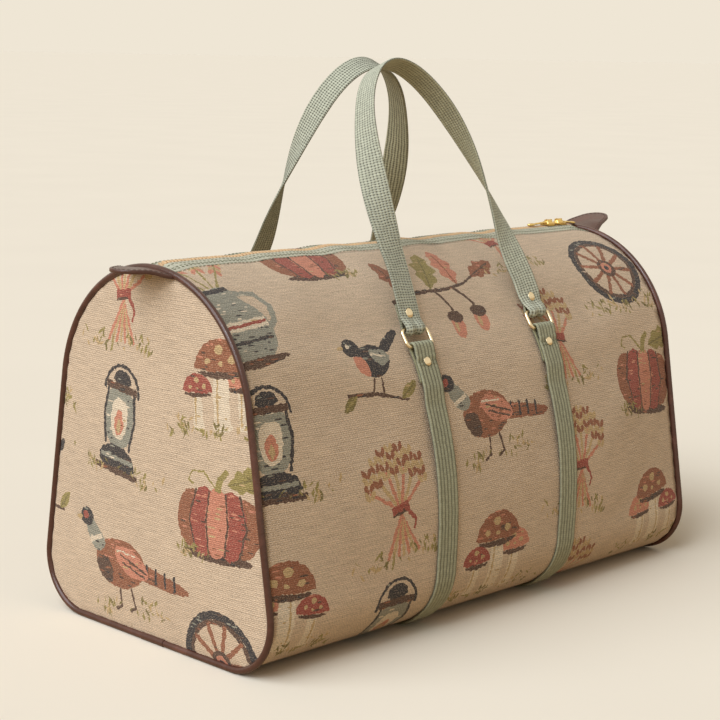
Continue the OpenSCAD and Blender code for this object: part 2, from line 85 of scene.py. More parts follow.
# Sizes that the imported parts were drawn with
DOME_R, CORNER_R = 108.5, 42.0
SIDE_SWELL, TOP_SWELL, END_SWELL, ZIP_FALL = 18.0, 3.2, 8.0, 11.0
CLOTH_T, TAPE_T, TAPE_START, PANEL_TOP = 2.0, 1.0, 4.0, 18.2
WEB_T, WIRE_R = 2.2, 1.4
STRAP_GAP, RUNNING_GAP, LAYER_GAP = 0.45, 0.35, 0.1
RING_DROP, RING_HEIGHT, TUCK_LENGTH = 127.0, 11.9, 26.0
HANDLE_RISE, HANDLE_SWAY, HANDLE_DRAW, HANDLE_END_WIDTH = 218.0, 14.0, 4.5, 21.0
FLAP_LENGTH = 21.0
TAB_LENGTH, TAB_TIP_R, TAB_T = 38.0, 13.0, 3.0

# Sizes of the dressing alone
TOP_FALL, LEVEL_HALF, WAVE_END, WAVE_EASE = 26.0, 6.0, 190.0, 30.0
HEM, SEAM_GAP, SETTLE_GRID, SETTLE_STEPS = 2.0, 0.1, 8, 30
FOLD_RISE, FOLD_SINK, EASE_LENGTH = 1.2, 2.4, 40.0
BODY_TUCK, END_TUCK, TUCK_WIDTH = 0.7, 0.9, 2.5
MOTIF_COLUMN, MOTIF_ROW = 110.0, 106.0
SLEEVE_WALL, TAB_STITCH_IN = 0.35, 0.88
TOOTH_SHARE, TOOTH_WIDTH, TOOTH_HEIGHT, TOOTH_OUT = 0.64, 0.0046, 0.0027, 1.75
KNOB_R, KNOB_FLUTES, PULL_HEIGHT, PULL_LENGTH = 4.0, 6, 4.2, 28.8
WEB_FACE_V, WEB_PART_V, WEB_UNDER_V = 11, 33, 55

DOME_C = np.array([0.0, SEAM_Z + BAG_HEIGHT - DOME_R])
CORNER_C = np.array([BAG_DEPTH / 2 - CORNER_R, SEAM_Z + CORNER_R])
CENTRE_STEP = DOME_C - CORNER_C
CENTRE_GAP = float(np.hypot(*CENTRE_STEP))
SIDE_TURN = math.atan2(CENTRE_STEP[1], CENTRE_STEP[0]) - math.acos((CORNER_R - DOME_R) / CENTRE_GAP)
DOME_END = DOME_R * (PI / 2 - SIDE_TURN)
SIDE_END = DOME_END + math.sqrt(CENTRE_GAP ** 2 - (DOME_R - CORNER_R) ** 2)
CORNER_END = SIDE_END + CORNER_R * (PI / 2 + SIDE_TURN)
HALF_GIRTH = CORNER_END + CORNER_C[0]
SWELL_START = 0.68 * DOME_END
SWELL_END = SIDE_END + 0.57 * (CORNER_END - SIDE_END)
OUTLINE_MIDDLE = np.array([0.0, SEAM_Z + BAG_HEIGHT * 0.45])


def smooth01(value):
    """Eases from 0 to 1."""
    c = np.clip(value, 0, 1)
    return c * c * (3 - 2 * c)


def seam(s):
    """Point (out from the middle, height) of the end seam at s from the top, and its outward normal."""
    s = np.asarray(s, float)
    turn = np.where(s < DOME_END, PI / 2 - s / DOME_R,
                    np.where(s < SIDE_END, SIDE_TURN,
                             np.where(s < CORNER_END, SIDE_TURN - (s - SIDE_END) / CORNER_R, -PI / 2)))
    normal = np.stack([np.cos(turn), np.sin(turn)], -1)
    onward = np.stack([normal[..., 1], -normal[..., 0]], -1)
    dome = DOME_C + DOME_R * normal
    side = dome + (s - DOME_END)[..., None] * onward
    corner = CORNER_C + CORNER_R * normal
    base = np.stack([CORNER_C[0] - (s - CORNER_END), np.full_like(s, SEAM_Z)], -1)
    point = np.where((s < DOME_END)[..., None], dome,
                     np.where((s < SIDE_END)[..., None], side,
                              np.where((s < CORNER_END)[..., None], corner, base)))
    return point, normal


def swell(x, s):
    """How far the cloth stands out of the end seam's outline."""
    u = np.clip((s - SWELL_START) / (SWELL_END - SWELL_START), 0, 1)
    across = np.minimum(np.abs(x) / PANEL_END, 1)
    side = SIDE_SWELL * np.sin(PI * u) ** 1.3 * (1 - across ** 3)
    fall = ZIP_FALL + (TOP_FALL - ZIP_FALL) * smooth01((s - LEVEL_HALF) / (PANEL_TOP - LEVEL_HALF))
    top = np.cos(PI / 2 * np.clip(s / SWELL_START, 0, 1)) ** 2 * smooth01((PANEL_END - np.abs(x)) / fall)
    wave = 0.7 * np.sin(x / 11.5 + 0.8) + 0.4 * np.sin(x / 6.7 - 0.5)
    wave = wave * smooth01((WAVE_END - np.abs(x)) / WAVE_EASE)
    return side + (TOP_SWELL + wave) * top


def section_point(x, s, off):
    """Point (out, height) at a distance off the cloth's outer face."""
    x, s = np.broadcast_arrays(np.asarray(x, float), np.asarray(s, float))
    point, normal = seam(s)
    return point + (swell(x, s) + off)[..., None] * normal


def front_point(x, s, off):
    """The same as a point of the front, in the part's frame."""
    x, s = np.broadcast_arrays(np.asarray(x, float), np.asarray(s, float))
    flat = section_point(x, s, off)
    return np.stack([x, -flat[..., 0], flat[..., 1]], -1)


# Meshes

def link(obj):
    """Puts an object in the scene."""
    bpy.context.scene.collection.objects.link(obj)
    return obj


def mesh_object(name, points, faces, material, uv=None, normals=None, smooth=True):
    """A mesh piece from points in millimetres, with a UV map in metres where a pattern follows it."""
    mesh = bpy.data.meshes.new(name)
    mesh.from_pydata((np.asarray(points) * MM).tolist(), [], [list(map(int, f)) for f in faces])
    mesh.update()
    if uv is not None:
        layer = mesh.uv_layers.new(name="weave")
        corners = np.zeros(len(mesh.loops), np.int32)
        mesh.loops.foreach_get("vertex_index", corners)
        layer.data.foreach_set("uv", (np.asarray(uv)[corners] * MM).astype(np.float32).ravel())
    if smooth:
        mesh.shade_smooth()
    if normals is not None:
        mesh.normals_split_custom_set_from_vertices(np.asarray(normals).tolist())
    mesh.materials.append(material)
    return link(bpy.data.objects.new(name, mesh))


def grid_faces(rows, columns):
    """Faces of a sheet of points, row by row."""
    at = np.arange(rows * columns).reshape(rows, columns)
    return np.stack([at[:-1, :-1], at[1:, :-1], at[1:, 1:], at[:-1, 1:]], -1).reshape(-1, 4)


def ring_faces(rings, around):
    """Faces between rings of points that follow each other."""
    faces = []
    for start in range(0, (rings - 1) * around, around):
        for i in range(around):
            a, b = start + i, start + (i + 1) % around
            faces.append((a, b, b + around, a + around))
    return faces


def lengths(path):
    """How far along a flat path each of its points is."""
    return np.concatenate([[0], np.cumsum(np.hypot(*np.diff(path, axis=0).T))])


def at_lengths(path, far):
    """Points of a flat path at distances from its start."""
    length = lengths(path)
    return np.stack([np.interp(far, length, path[:, k]) for k in (0, 1)], 1)


def even(path, step):
    """A flat path resampled at an even step."""
    path = np.asarray(path, float)
    total = lengths(path)[-1]
    return at_lengths(path, np.linspace(0, total, int(round(total / step)) + 1))


def rows_between(low, high, step):
    """Evenly spaced values from low to high, about a step apart."""
    return np.linspace(low, high, max(2, int(round((high - low) / step)) + 1))


def face_out(obj):
    """Merges doubles and turns the faces of a closed piece outwards."""
    work = bmesh.new()
    work.from_mesh(obj.data)
    bmesh.ops.remove_doubles(work, verts=work.verts, dist=1e-6)
    bmesh.ops.recalc_face_normals(work, faces=work.faces)
    work.to_mesh(obj.data)
    work.free()
    return obj


def place(obj, body, slot, *nodes):
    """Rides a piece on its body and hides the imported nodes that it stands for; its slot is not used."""
    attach(obj, body)
    if nodes:
        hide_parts(*nodes)
    return obj


def line_mesh(name, lines):
    """A mesh of loose lines; a line is (points in millimetres, closed)."""
    points, edges = [], []
    for line, closed in lines:
        base, count = len(points), len(line)
        points += [tuple(float(c) * MM for c in p) for p in line]
        edges += [(base + i, base + i + 1) for i in range(count - 1)]
        if closed:
            edges.append((base + count - 1, base))
    mesh = bpy.data.meshes.new(name)
    mesh.from_pydata(points, edges, [])
    return mesh


def grow(name, mesh, tree, **values):
    """Runs a node tree on a mesh of lines or points, and keeps the result as a plain mesh."""
    source = link(bpy.data.objects.new(name + "_source", mesh))
    modifier = source.modifiers.new("grow", "NODES")
    modifier.node_group = tree
    for item in tree.interface.items_tree:
        key = item.name.replace(" ", "_").lower()
        if item.item_type == "SOCKET" and item.in_out == "INPUT" and key in values:
            modifier[item.identifier] = values[key]
    depsgraph = bpy.context.evaluated_depsgraph_get()
    result = bpy.data.meshes.new_from_object(source.evaluated_get(depsgraph), depsgraph=depsgraph)
    result.name = name
    source.modifiers.remove(modifier)
    bpy.data.objects.remove(source)
    if not result.polygons:
        raise RuntimeError(f"{name}: its node tree made nothing")
    return link(bpy.data.objects.new(name, result))


# Node trees

def add(tree, kind, inputs=None, **settings):
    """A node with its settings; inputs are values, or sockets to link, by name or place."""
    node = tree.nodes.new(kind)
    for name, value in settings.items():
        setattr(node, name, value)
    for key, value in (inputs or {}).items():
        socket = node.inputs[key]
        if isinstance(value, bpy.types.NodeSocket):
            tree.links.new(value, socket)
        else:
            socket.default_value = value
    return node


def geometry_tree(name, inputs):
    """An empty geometry tree with named inputs, its input node and a function that closes it."""
    tree = bpy.data.node_groups.new(name, "GeometryNodeTree")
    tree.interface.new_socket("Geometry", in_out="INPUT", socket_type="NodeSocketGeometry")
    for label, kind, value in inputs:
        socket = tree.interface.new_socket(label, in_out="INPUT", socket_type=kind)
        if value is not None:
            socket.default_value = value
    tree.interface.new_socket("Material", in_out="INPUT", socket_type="NodeSocketMaterial")
    tree.interface.new_socket("Geometry", in_out="OUTPUT", socket_type="NodeSocketGeometry")
    given = tree.nodes.new("NodeGroupInput")

    def close(geometry):
        real = add(tree, "GeometryNodeRealizeInstances", {"Geometry": geometry})
        soft = add(tree, "GeometryNodeSetShadeSmooth", {"Geometry": real.outputs[0]})
        dyed = add(tree, "GeometryNodeSetMaterial",
                   {"Geometry": soft.outputs[0], "Material": given.outputs["Material"]})
        tree.links.new(dyed.outputs[0], tree.nodes.new("NodeGroupOutput").inputs[0])
        return tree

    return tree, given, close


def cord_tree():
    """A round cord along each line."""
    tree, given, close = geometry_tree("Cord along a seam", [
        ("Cord radius", "NodeSocketFloat", 0.0026), ("Sides", "NodeSocketInt", 16)])
    path = add(tree, "GeometryNodeMeshToCurve", {"Mesh": given.outputs["Geometry"]})
    ring = add(tree, "GeometryNodeCurvePrimitiveCircle",
               {"Resolution": given.outputs["Sides"], "Radius": given.outputs["Cord radius"]})
    cord = add(tree, "GeometryNodeCurveToMesh",
               {"Curve": path.outputs[0], "Profile Curve": ring.outputs[0], "Fill Caps": True})
    return close(cord.outputs[0])


def stitch_tree():
    """Running stitches along each line."""
    tree, given, close = geometry_tree("Running stitch", [
        ("Pitch", "NodeSocketFloat", 0.0036), ("Stitch", "NodeSocketVector", (0.0013, 0.0004, 0.0003))])
    path = add(tree, "GeometryNodeMeshToCurve", {"Mesh": given.outputs["Geometry"]})
    steps = add(tree, "GeometryNodeResampleCurve",
                {"Curve": path.outputs[0], "Length": given.outputs["Pitch"]}, mode="LENGTH")
    tangent = add(tree, "GeometryNodeInputTangent")
    turn = add(tree, "FunctionNodeAlignRotationToVector", {"Vector": tangent.outputs[0]}, axis="X")
    bead = add(tree, "GeometryNodeMeshUVSphere", {"Segments": 8, "Rings": 5, "Radius": 1.0})
    row = add(tree, "GeometryNodeInstanceOnPoints", {
        "Points": steps.outputs[0], "Instance": bead.outputs[0], "Rotation": turn.outputs[0],
        "Scale": given.outputs["Stitch"]})
    return close(row.outputs[0])


def teeth_tree():
    """A rounded tooth on each point."""
    tree, given, close = geometry_tree("Zip teeth", [
        ("Tooth", "NodeSocketVector", (0.0025, 0.0045, 0.0028))])
    block = add(tree, "GeometryNodeMeshCube", {"Size": given.outputs["Tooth"]})
    worn = add(tree, "GeometryNodeSubdivisionSurface",
               {"Mesh": block.outputs[0], "Level": 1, "Edge Crease": 0.4})
    row = add(tree, "GeometryNodeInstanceOnPoints",
              {"Points": given.outputs["Geometry"], "Instance": worn.outputs[0]})
    return close(row.outputs[0])


# Finishes

def linear(red, green, blue):
    """A colour given as it looks on a screen, 0 to 255, in linear light."""
    share = np.array([red, green, blue]) / 255
    light = np.where(share <= 0.04045, share / 12.92, ((share + 0.055) / 1.055) ** 2.4)
    return tuple(float(c) for c in light)


class Finish:
    """A material being built: its tree, its shader and short calls for common nodes."""

    def __init__(self, name, **sockets):
        self.material = bpy.data.materials.new(name)
        self.material.use_nodes = True
        self.tree = self.material.node_tree
        self.shader = self.tree.nodes["Principled BSDF"]
        for key, value in sockets.items():
            self.shader.inputs[key.replace("_", " ")].default_value = value

    def add(self, kind, inputs=None, **settings):
        return add(self.tree, kind, inputs, **settings)

    def math(self, operation, a, b=0.0, c=0.0):
        return self.add("ShaderNodeMath", {0: a, 1: b, 2: c}, operation=operation).outputs[0]

    def place(self, scale, uv=None):
        """The piece's own coordinates, stretched by a scale per metre."""
        if uv:
            source = self.add("ShaderNodeUVMap", uv_map=uv).outputs["UV"]
        else:
            source = self.add("ShaderNodeTexCoord").outputs["Object"]
        return self.add("ShaderNodeMapping", {"Vector": source, "Scale": scale}).outputs[0]

    def noise(self, scale, uv=None, detail=2.0, roughness=0.5):
        return self.add("ShaderNodeTexNoise", {
            "Vector": self.place(scale, uv), "Scale": 1.0, "Detail": detail, "Roughness": roughness,
        }).outputs["Fac"]

    def between(self, value, low, high, out_low, out_high):
        return self.add("ShaderNodeMapRange", {
            "Value": value, "From Min": low, "From Max": high, "To Min": out_low, "To Max": out_high,
        }).outputs[0]

    def mix(self, share, a, b, blend="MIX"):
        node = self.add("ShaderNodeMix", {"Factor": share}, data_type="RGBA", blend_type=blend)
        for place, value in ((6, a), (7, b)):
            if isinstance(value, bpy.types.NodeSocket):
                self.tree.links.new(value, node.inputs[place])
            else:
                node.inputs[place].default_value = (*value, 1.0)
        return node.outputs[2]

    def shade(self, colour, value):
        """A colour made lighter or darker by a value round 1."""
        grey = self.add("ShaderNodeCombineColor", {0: value, 1: value, 2: value}).outputs[0]
        return self.mix(1.0, colour, grey, "MULTIPLY")

    def finish(self, colour=None, roughness=None, height=None, depth=0.0003, bevel=0.0):
        link_to = self.tree.links.new
        if colour is not None:
            link_to(colour, self.shader.inputs["Base Color"])
        if roughness is not None:
            link_to(roughness, self.shader.inputs["Roughness"])
        normal = None
        if bevel:
            normal = self.add("ShaderNodeBevel", {"Radius": bevel}, samples=4).outputs[0]
        if height is not None:
            inputs = {"Height": height, "Distance": depth, "Strength": 1.0}
            if normal is not None:
                inputs["Normal"] = normal
            normal = self.add("ShaderNodeBump", inputs).outputs[0]
        if normal is not None:
            link_to(normal, self.shader.inputs["Normal"])
        return self.material


def tapestry_finish(ground):
    """Jacquard cloth: short weft floats in staggered rows, a nubby grain, dark flecks and a few slubs."""
    f = Finish("tapestry", Roughness=0.88, Sheen_Weight=0.1, Sheen_Roughness=0.5)
    print_colour = f.add("ShaderNodeAttribute", attribute_name="print").outputs["Color"]
    wander = f.noise((150, 150, 1), "weave", 1.0)
    u, v, _ = f.add("ShaderNodeSeparateXYZ", {0: f.place((1 / 0.0027, 1 / 0.0015, 1), "weave")}).outputs
    row = f.math("ABSOLUTE", f.math("SINE", f.math("MULTIPLY", v, PI)))
    step = f.math("MULTIPLY_ADD", f.math("FLOOR", v), 0.37, f.math("MULTIPLY_ADD", wander, 3.0, u))
    thread = f.math("MULTIPLY_ADD", f.math("SINE", f.math("MULTIPLY", step, 2 * PI)), 0.5, 0.5)
    nub = f.math("MULTIPLY", f.math("POWER", row, 0.6), f.math("MULTIPLY_ADD", thread, 0.6, 0.4))
    grain = f.noise((760, 1050, 1), "weave", 2.0, 0.6)
    slub = f.noise((55, 760, 1), "weave", 2.0, 0.5)
    fleck = f.noise((330, 620, 1), "weave", 1.0)
    cloud = f.noise((14, 14, 1), "weave", 2.0)
    through = f.between(grain, 0.52, 0.66, 0.0, 0.3)
    colour = f.mix(through, print_colour, ground)
    tone = f.math("ADD", f.between(nub, 0.1, 0.9, -0.2, 0.13), f.between(grain, 0.3, 0.7, -0.2, 0.19))
    tone = f.math("ADD", tone, f.between(slub, 0.35, 0.7, -0.1, 0.13))
    tone = f.math("ADD", tone, f.between(fleck, 0.67, 0.75, 0.0, -0.3))
    tone = f.math("ADD", tone, f.between(cloud, 0.3, 0.7, 0.97, 1.03))
    height = f.math("ADD", nub, f.math("MULTIPLY_ADD", slub, 0.7, grain))
    return f.finish(f.shade(colour, tone), None, height, 0.0004)


def webbing_finish(name, light, rib_pitch, pick_pitch, ribbed):
    """Square weave in heavy yarn, or ribs on both faces where ribbed; underneath, a browner and darker yarn,
    partly the back face's own colour and partly painted shade.
    """
    f = Finish(name, Roughness=0.9, Sheen_Weight=0.1, Sheen_Roughness=0.5)
    u, v, _ = f.add("ShaderNodeSeparateXYZ",
                    {0: f.place((1 / pick_pitch, 1 / rib_pitch, 1), "weave")}).outputs
    wander = f.noise((110, 110, 1), "weave", 1.0)
    u, v = (f.math("MULTIPLY_ADD", wander, share, line) for share, line in ((1.1, u), (0.5, v)))
    under = f.math("GREATER_THAN", v, WEB_PART_V * MM / rib_pitch)
    if ribbed:
        u = f.math("MULTIPLY_ADD", f.math("FLOOR", v), 0.5, u)

    def weight(square, back, rib):
        return rib if ribbed else f.math("MULTIPLY_ADD", under, back - square, square)

    rib = f.math("ABSOLUTE", f.math("SINE", f.math("MULTIPLY", v, PI)))
    pick = f.math("ABSOLUTE", f.math("SINE", f.math("MULTIPLY", u, PI)))
    rib_gap = f.math("POWER", f.math("SUBTRACT", 1.0, rib), 1.6)
    pick_gap = f.math("POWER", f.math("SUBTRACT", 1.0, pick), 1.6)
    hole = f.math("MULTIPLY", f.math("SUBTRACT", 1.0, rib), f.math("SUBTRACT", 1.0, pick))
    yarn = f.noise((260, 900, 1), "weave", 2.0)
    cloud = f.noise((22, 60, 1), "weave", 2.0)
    cell = f.add("ShaderNodeCombineXYZ", {0: f.math("FLOOR", u), 1: f.math("FLOOR", v)}).outputs[0]
    uneven = f.add("ShaderNodeTexWhiteNoise", {"Vector": cell}, noise_dimensions="2D").outputs["Value"]
    # The underside's browner, darker colour: partly the webbing's own back face, partly painted shade on
    # faces that turn from the light.
    brown = tuple(c * k for c, k in zip(light, (0.85, 0.8, 0.68)))
    colour = f.mix(under, light, brown)
    groove = f.math("MULTIPLY", rib_gap, weight(0.24, 0.42, 0.56))
    shadow = f.math("ADD", groove, f.math("MULTIPLY", pick_gap, weight(0.24, 0.2, 0.12)))
    shadow = f.math("MULTIPLY_ADD", hole, weight(0.72, 0.4, 0.26), shadow)
    tone = f.math("ADD", f.between(yarn, 0.3, 0.7, -0.11, 0.11), f.between(cloud, 0.3, 0.7, 0.95, 1.05))
    tone = f.math("ADD", tone, f.between(uneven, 0.0, 1.0, -0.08, 0.08))
    tone = f.math("MULTIPLY", tone, f.math("MAXIMUM", f.math("SUBTRACT", 1.0, shadow), 0.12))
    height = f.math("SUBTRACT", f.math("MULTIPLY_ADD", yarn, 0.2, 1.0), shadow)
    return f.finish(f.shade(colour, tone), None, height, 0.0007)


def leather_finish(name, brown, gloss, depth):
    """Waxed leather: a fine pebbled grain, worn lighter in patches."""
    f = Finish(name, Specular_IOR_Level=0.5)
    grain = f.add("ShaderNodeTexVoronoi", {"Vector": f.place((1, 1, 1)), "Scale": 850.0}).outputs["Distance"]
    crease = f.noise((240, 240, 240), None, 3.0, 0.6)
    wear = f.noise((34, 34, 34), None, 3.0, 0.6)
    worn = tuple(min(1.0, c * 2.1 + 0.006) for c in brown)
    colour = f.mix(f.between(wear, 0.5, 0.75, 0.0, 0.7), brown, worn)
    colour = f.shade(colour, f.between(crease, 0.3, 0.7, 0.86, 1.14))
    rough = f.between(wear, 0.3, 0.7, gloss, gloss + 0.16)
    return f.finish(colour, rough, f.math("MULTIPLY_ADD", crease, 0.8, grain), depth)


def metal_finish(name, gold):
    """Plated zinc: faintly hazed, its edges rounded."""
    f = Finish(name, Metallic=1.0)
    haze = f.noise((180, 180, 180), None, 3.0)
    spot = f.noise((900, 900, 900), None, 2.0)
    colour = f.shade(f.mix(f.between(haze, 0.4, 0.7, 0.0, 0.4), gold, tuple(c * 0.8 for c in gold)),
                     f.between(spot, 0.3, 0.7, 0.95, 1.05))
    return f.finish(colour, f.between(haze, 0.3, 0.7, 0.14, 0.28), spot, 0.00001, bevel=0.0004)


def teeth_finish(amber):
    """Moulded zip teeth with a satin metallic look."""
    f = Finish("zip teeth", Specular_IOR_Level=0.4)
    spot = f.noise((420, 420, 420), None, 2.0)
    colour = f.mix(f.between(spot, 0.35, 0.65, 0.0, 1.0), amber, tuple(min(1, c * 1.35) for c in amber))
    return f.finish(colour, f.between(spot, 0.3, 0.7, 0.3, 0.44), spot, 0.00004)


def plain_weave_finish(name, tint, pitch, roughness=0.9):
    """A plain woven cloth or tape, on the piece's own coordinates."""
    f = Finish(name, Roughness=roughness)
    over = f.noise((1 / pitch, 0.12 / pitch, 0.12 / pitch), None, 1.0)
    under = f.noise((0.12 / pitch, 1 / pitch, 1 / pitch), None, 1.0)
    height = f.math("ADD", over, under)
    colour = f.shade(tint, f.between(height, 0.7, 1.3, 0.82, 1.16))
    return f.finish(colour, None, height, 0.0003)


def board_finish(tint):
    """Pressed fibre board."""
    f = Finish("fibre board", Roughness=0.8)
    fibre = f.noise((60, 260, 260), None, 4.0, 0.7)
    return f.finish(f.shade(tint, f.between(fibre, 0.3, 0.7, 0.7, 1.25)), None, fibre, 0.0003)


def thread_finish(name, tint):
    """Waxed sewing thread."""
    f = Finish(name, Roughness=0.62)
    twist = f.noise((1500, 1500, 1500), None, 1.0)
    return f.finish(f.shade(tint, f.between(twist, 0.3, 0.7, 0.75, 1.25)), None, twist, 0.0001)


# The print: motifs in millimetres about their own middles, as (colour, outline) from back to front

INKS = {
    "chestnut": (146, 92, 64), "coral": (200, 132, 106), "charcoal": (50, 47, 48), "slate": (146, 145, 130),
    "red": (156, 78, 64), "olive": (150, 136, 78), "moss": (122, 110, 62), "cream": (222, 206, 180),
    "brown": (86, 62, 48), "straw": (192, 164, 118),
}
# The lighter and the darker yarn that shade each colour
TONES = {
    "chestnut": ("coral", "brown"), "coral": ("straw", "chestnut"), "charcoal": ("slate", "brown"),
    "slate": ("cream", "charcoal"), "red": ("coral", "brown"), "olive": ("straw", "moss"),
    "moss": ("olive", "brown"), "cream": ("cream", "straw"), "brown": ("chestnut", "charcoal"),
    "straw": ("cream", "chestnut"),
}


def rough_edge(outline, rng, step=1.7, jitter=0.38):
    """An outline that steps from thread to thread, as a loom draws it."""
    ring = np.concatenate([outline, outline[:1]])
    total = lengths(ring)[-1]
    points = at_lengths(ring, np.linspace(0, total, max(6, int(total / step)), endpoint=False))
    return points + rng.normal(0, jitter, points.shape)


def floats(ink, outline, rng):
    """Short threads that shade a shape, lighter at its upper left and darker at its lower right."""
    low, box = outline.min(0), np.ptp(outline, axis=0)
    count = int(box[0] * box[1] / 40)
    if count < 4:
        return []
    at = low + box * rng.uniform(size=(count, 2))
    half = rng.uniform(1.2, 4.2, count)
    thick = rng.uniform(0.45, 0.8, count)
    tone = (at - low) / box @ (0.5, -0.5) + rng.normal(0, 0.22, count)
    reach = np.stack([half, np.zeros(count)], 1)
    kept = inside(at - reach, outline) & inside(at + reach, outline) & (np.abs(tone) > 0.1)
    form = np.array([(-1, 0), (-0.4, -1), (0.5, -1), (1, 0), (0.4, 1), (-0.5, 1)])
    return [(TONES[ink][int(t > 0)], p + form * (h, w))
            for p, h, w, t in zip(at[kept], half[kept], thick[kept], tone[kept])]


def spin(points, x, y, turn):
    """Points turned by degrees about their own middle and moved to a place."""
    c, s = math.cos(math.radians(turn)), math.sin(math.radians(turn))
    px, py = points.T
    return np.stack([x + px * c - py * s, y + px * s + py * c], 1)


def oval(ink, x, y, rx, ry, turn=0.0, sides=16):
    """An oval about a point, turned by degrees."""
    a = np.arange(sides) * 2 * PI / sides
    return ink, spin(np.stack([rx * np.cos(a), ry * np.sin(a)], 1), x, y, turn)


def patch(ink, *points, rounds=2):
    """A soft-cornered shape through a few points."""
    p = np.array(points, float)
    for _ in range(rounds):
        q = np.roll(p, -1, 0)
        p = np.stack([0.75 * p + 0.25 * q, 0.25 * p + 0.75 * q], 1).reshape(-1, 2)
    return ink, p


def stroke(ink, width, *points, taper=0.0):
    """A line of a width, narrower towards its end by a share."""
    p = np.array(points, float)
    t = np.gradient(p, axis=0)
    n = np.stack([-t[:, 1], t[:, 0]], 1) / np.maximum(np.hypot(*t.T), 1e-9)[:, None]
    w = (width / 2 * (1 - taper * np.linspace(0, 1, len(p))))[:, None]
    return ink, np.concatenate([p + w * n, (p - w * n)[::-1]])


def arc(x, y, r, start, end, steps=10):
    """Points of an arc between two angles in degrees."""
    a = np.radians(np.linspace(start, end, steps))
    return [(x + r * math.cos(t), y + r * math.sin(t)) for t in a]


def leaf(ink, vein, x, y, length, turn, lobes=0.0):
    """A leaf from its stalk, lobed like an oak's where lobes is more than 0."""
    t = np.linspace(0, 1, 13)
    w = length * np.sin(PI * t) ** 0.8 * (0.22 + lobes * np.cos(7 * PI * t))
    blade = np.concatenate([np.stack([t * length, w], 1), np.stack([t * length, -w], 1)[::-1][1:-1]])
    tip = spin(np.array([(0.85 * length, 0.0)]), x, y, turn)[0]
    return [(ink, spin(blade, x, y, turn)), stroke(vein, 1.3, (x, y), tip)]


def tuft(x, y, height, ink="olive"):
    """A patch of rough grass."""
    rng = np.random.default_rng(int(2000 + 7 * x + 13 * y + 3 * height))
    blades = []
    for k in range(20):
        root = np.array([x + rng.normal(0, 9), y + rng.uniform(-0.15, 0.6) * height])
        lean, half = rng.normal(PI / 2, 0.7), rng.uniform(2.0, 4.6)
        along = np.array([math.cos(lean), math.sin(lean)])
        side = np.array([-along[1], along[0]])
        width = rng.uniform(0.6, 1.3)
        blades.append(((ink, "moss", "olive", "straw")[k % 4], np.array(
            [root - half * along, root + width * side, root + half * along, root - width * side])))
    return blades


def pheasant():
    tail = [patch("chestnut", (10, 6), (62, -8), (70, -14), (58, -16), (10, -8), rounds=1)]
    tail += [stroke("charcoal", 2.2, (x, -1 - (x - 20) * 0.2 + 5), (x - 2, -5 - (x - 20) * 0.2 - 2))
             for x in (28, 37, 46, 55)]
    return tail + [
        patch("chestnut", (-28, 2), (-20, -14), (0, -19), (20, -12), (27, 2), (15, 14), (-4, 17), (-21, 14)),
        patch("brown", (-28, 4), (-24, -11), (-10, -17), (-10, 4)),
        patch("coral", (-9, 9), (5, -10), (31, -9), (23, 5), (5, 13)),
        stroke("brown", 1.5, (0, 6), (26, -5)),
        stroke("brown", 1.5, (1, 1), (24, -8)),
        stroke("cream", 1.3, (-4, 9), (16, 6)),
        patch("slate", (-26, 4), (-37, 22), (-30, 31), (-21, 22), (-12, 11)),
        stroke("cream", 3.2, (-32, 13), (-18, 17)),
        oval("charcoal", -34, 29, 8, 6.5),
        oval("red", -35.5, 30, 3.6, 2.8),
        patch("straw", (-40, 31), (-49, 27), (-40, 26), rounds=1),
        stroke("brown", 2.0, (-4, -17), (-6, -30), (-13, -33)),
        stroke("brown", 2.0, (7, -16), (9, -30), (2, -33)),
    ] + tuft(-24, -35, 15) + tuft(24, -34, 18)


def gourd():
    lobes = [oval("chestnut", -22, 0, 13, 19), oval("chestnut", 22, 0, 13, 19), oval("red", -11, 0, 13, 22),
             oval("red", 11, 0, 13, 22), oval("coral", 0, 0, 10, 23)]
    ribs = [stroke("brown", 1.5, (0.75 * x, 20), (x, 0), (0.75 * x, -20)) for x in (-24, -9, 9, 24)]
    return [oval("brown", 0, -21, 30, 4)] + lobes + ribs + [
        stroke("olive", 5.5, (0, 20), (2, 28), (8, 34), taper=0.3),
        stroke("olive", 1.5, (-2, 22), (-12, 31), (-22, 30), (-25, 24), (-20, 22)),
    ] + leaf("olive", "moss", 8, 25, 34, 18, 0.05) + tuft(-26, -24, 12)


def lantern():
    return [
        stroke("charcoal", 2.4, *arc(0, 24, 19, 0, 180, 14)),
        patch("charcoal", (-11, 30), (11, 30), (7, 40), (-7, 40), rounds=1),
        patch("slate", (-14, 28), (-17, 8), (-12, -14), (12, -14), (17, 8), (14, 28)),
        patch("cream", (-8, 20), (-10, 6), (-6, -8), (6, -8), (10, 6), (8, 20)),
        patch("coral", (0, 16), (-7, 2), (0, -8), (7, 2)),
        patch("straw", (0, 8), (-3, 0), (0, -6), (3, 0)),
        stroke("charcoal", 2.6, (-14, 28), (-17, 8), (-13, -14)),
        stroke("charcoal", 2.6, (14, 28), (17, 8), (13, -14)),
        stroke("brown", 5, (-17, 28), (17, 28)),
        patch("charcoal", (-16, -13), (16, -13), (22, -31), (-22, -31), rounds=1),
        stroke("slate", 3, (-18, -22), (18, -22)),
        stroke("brown", 4, (-24, -31), (24, -31)),
    ] + tuft(-28, -33, 16) + tuft(27, -33, 13)


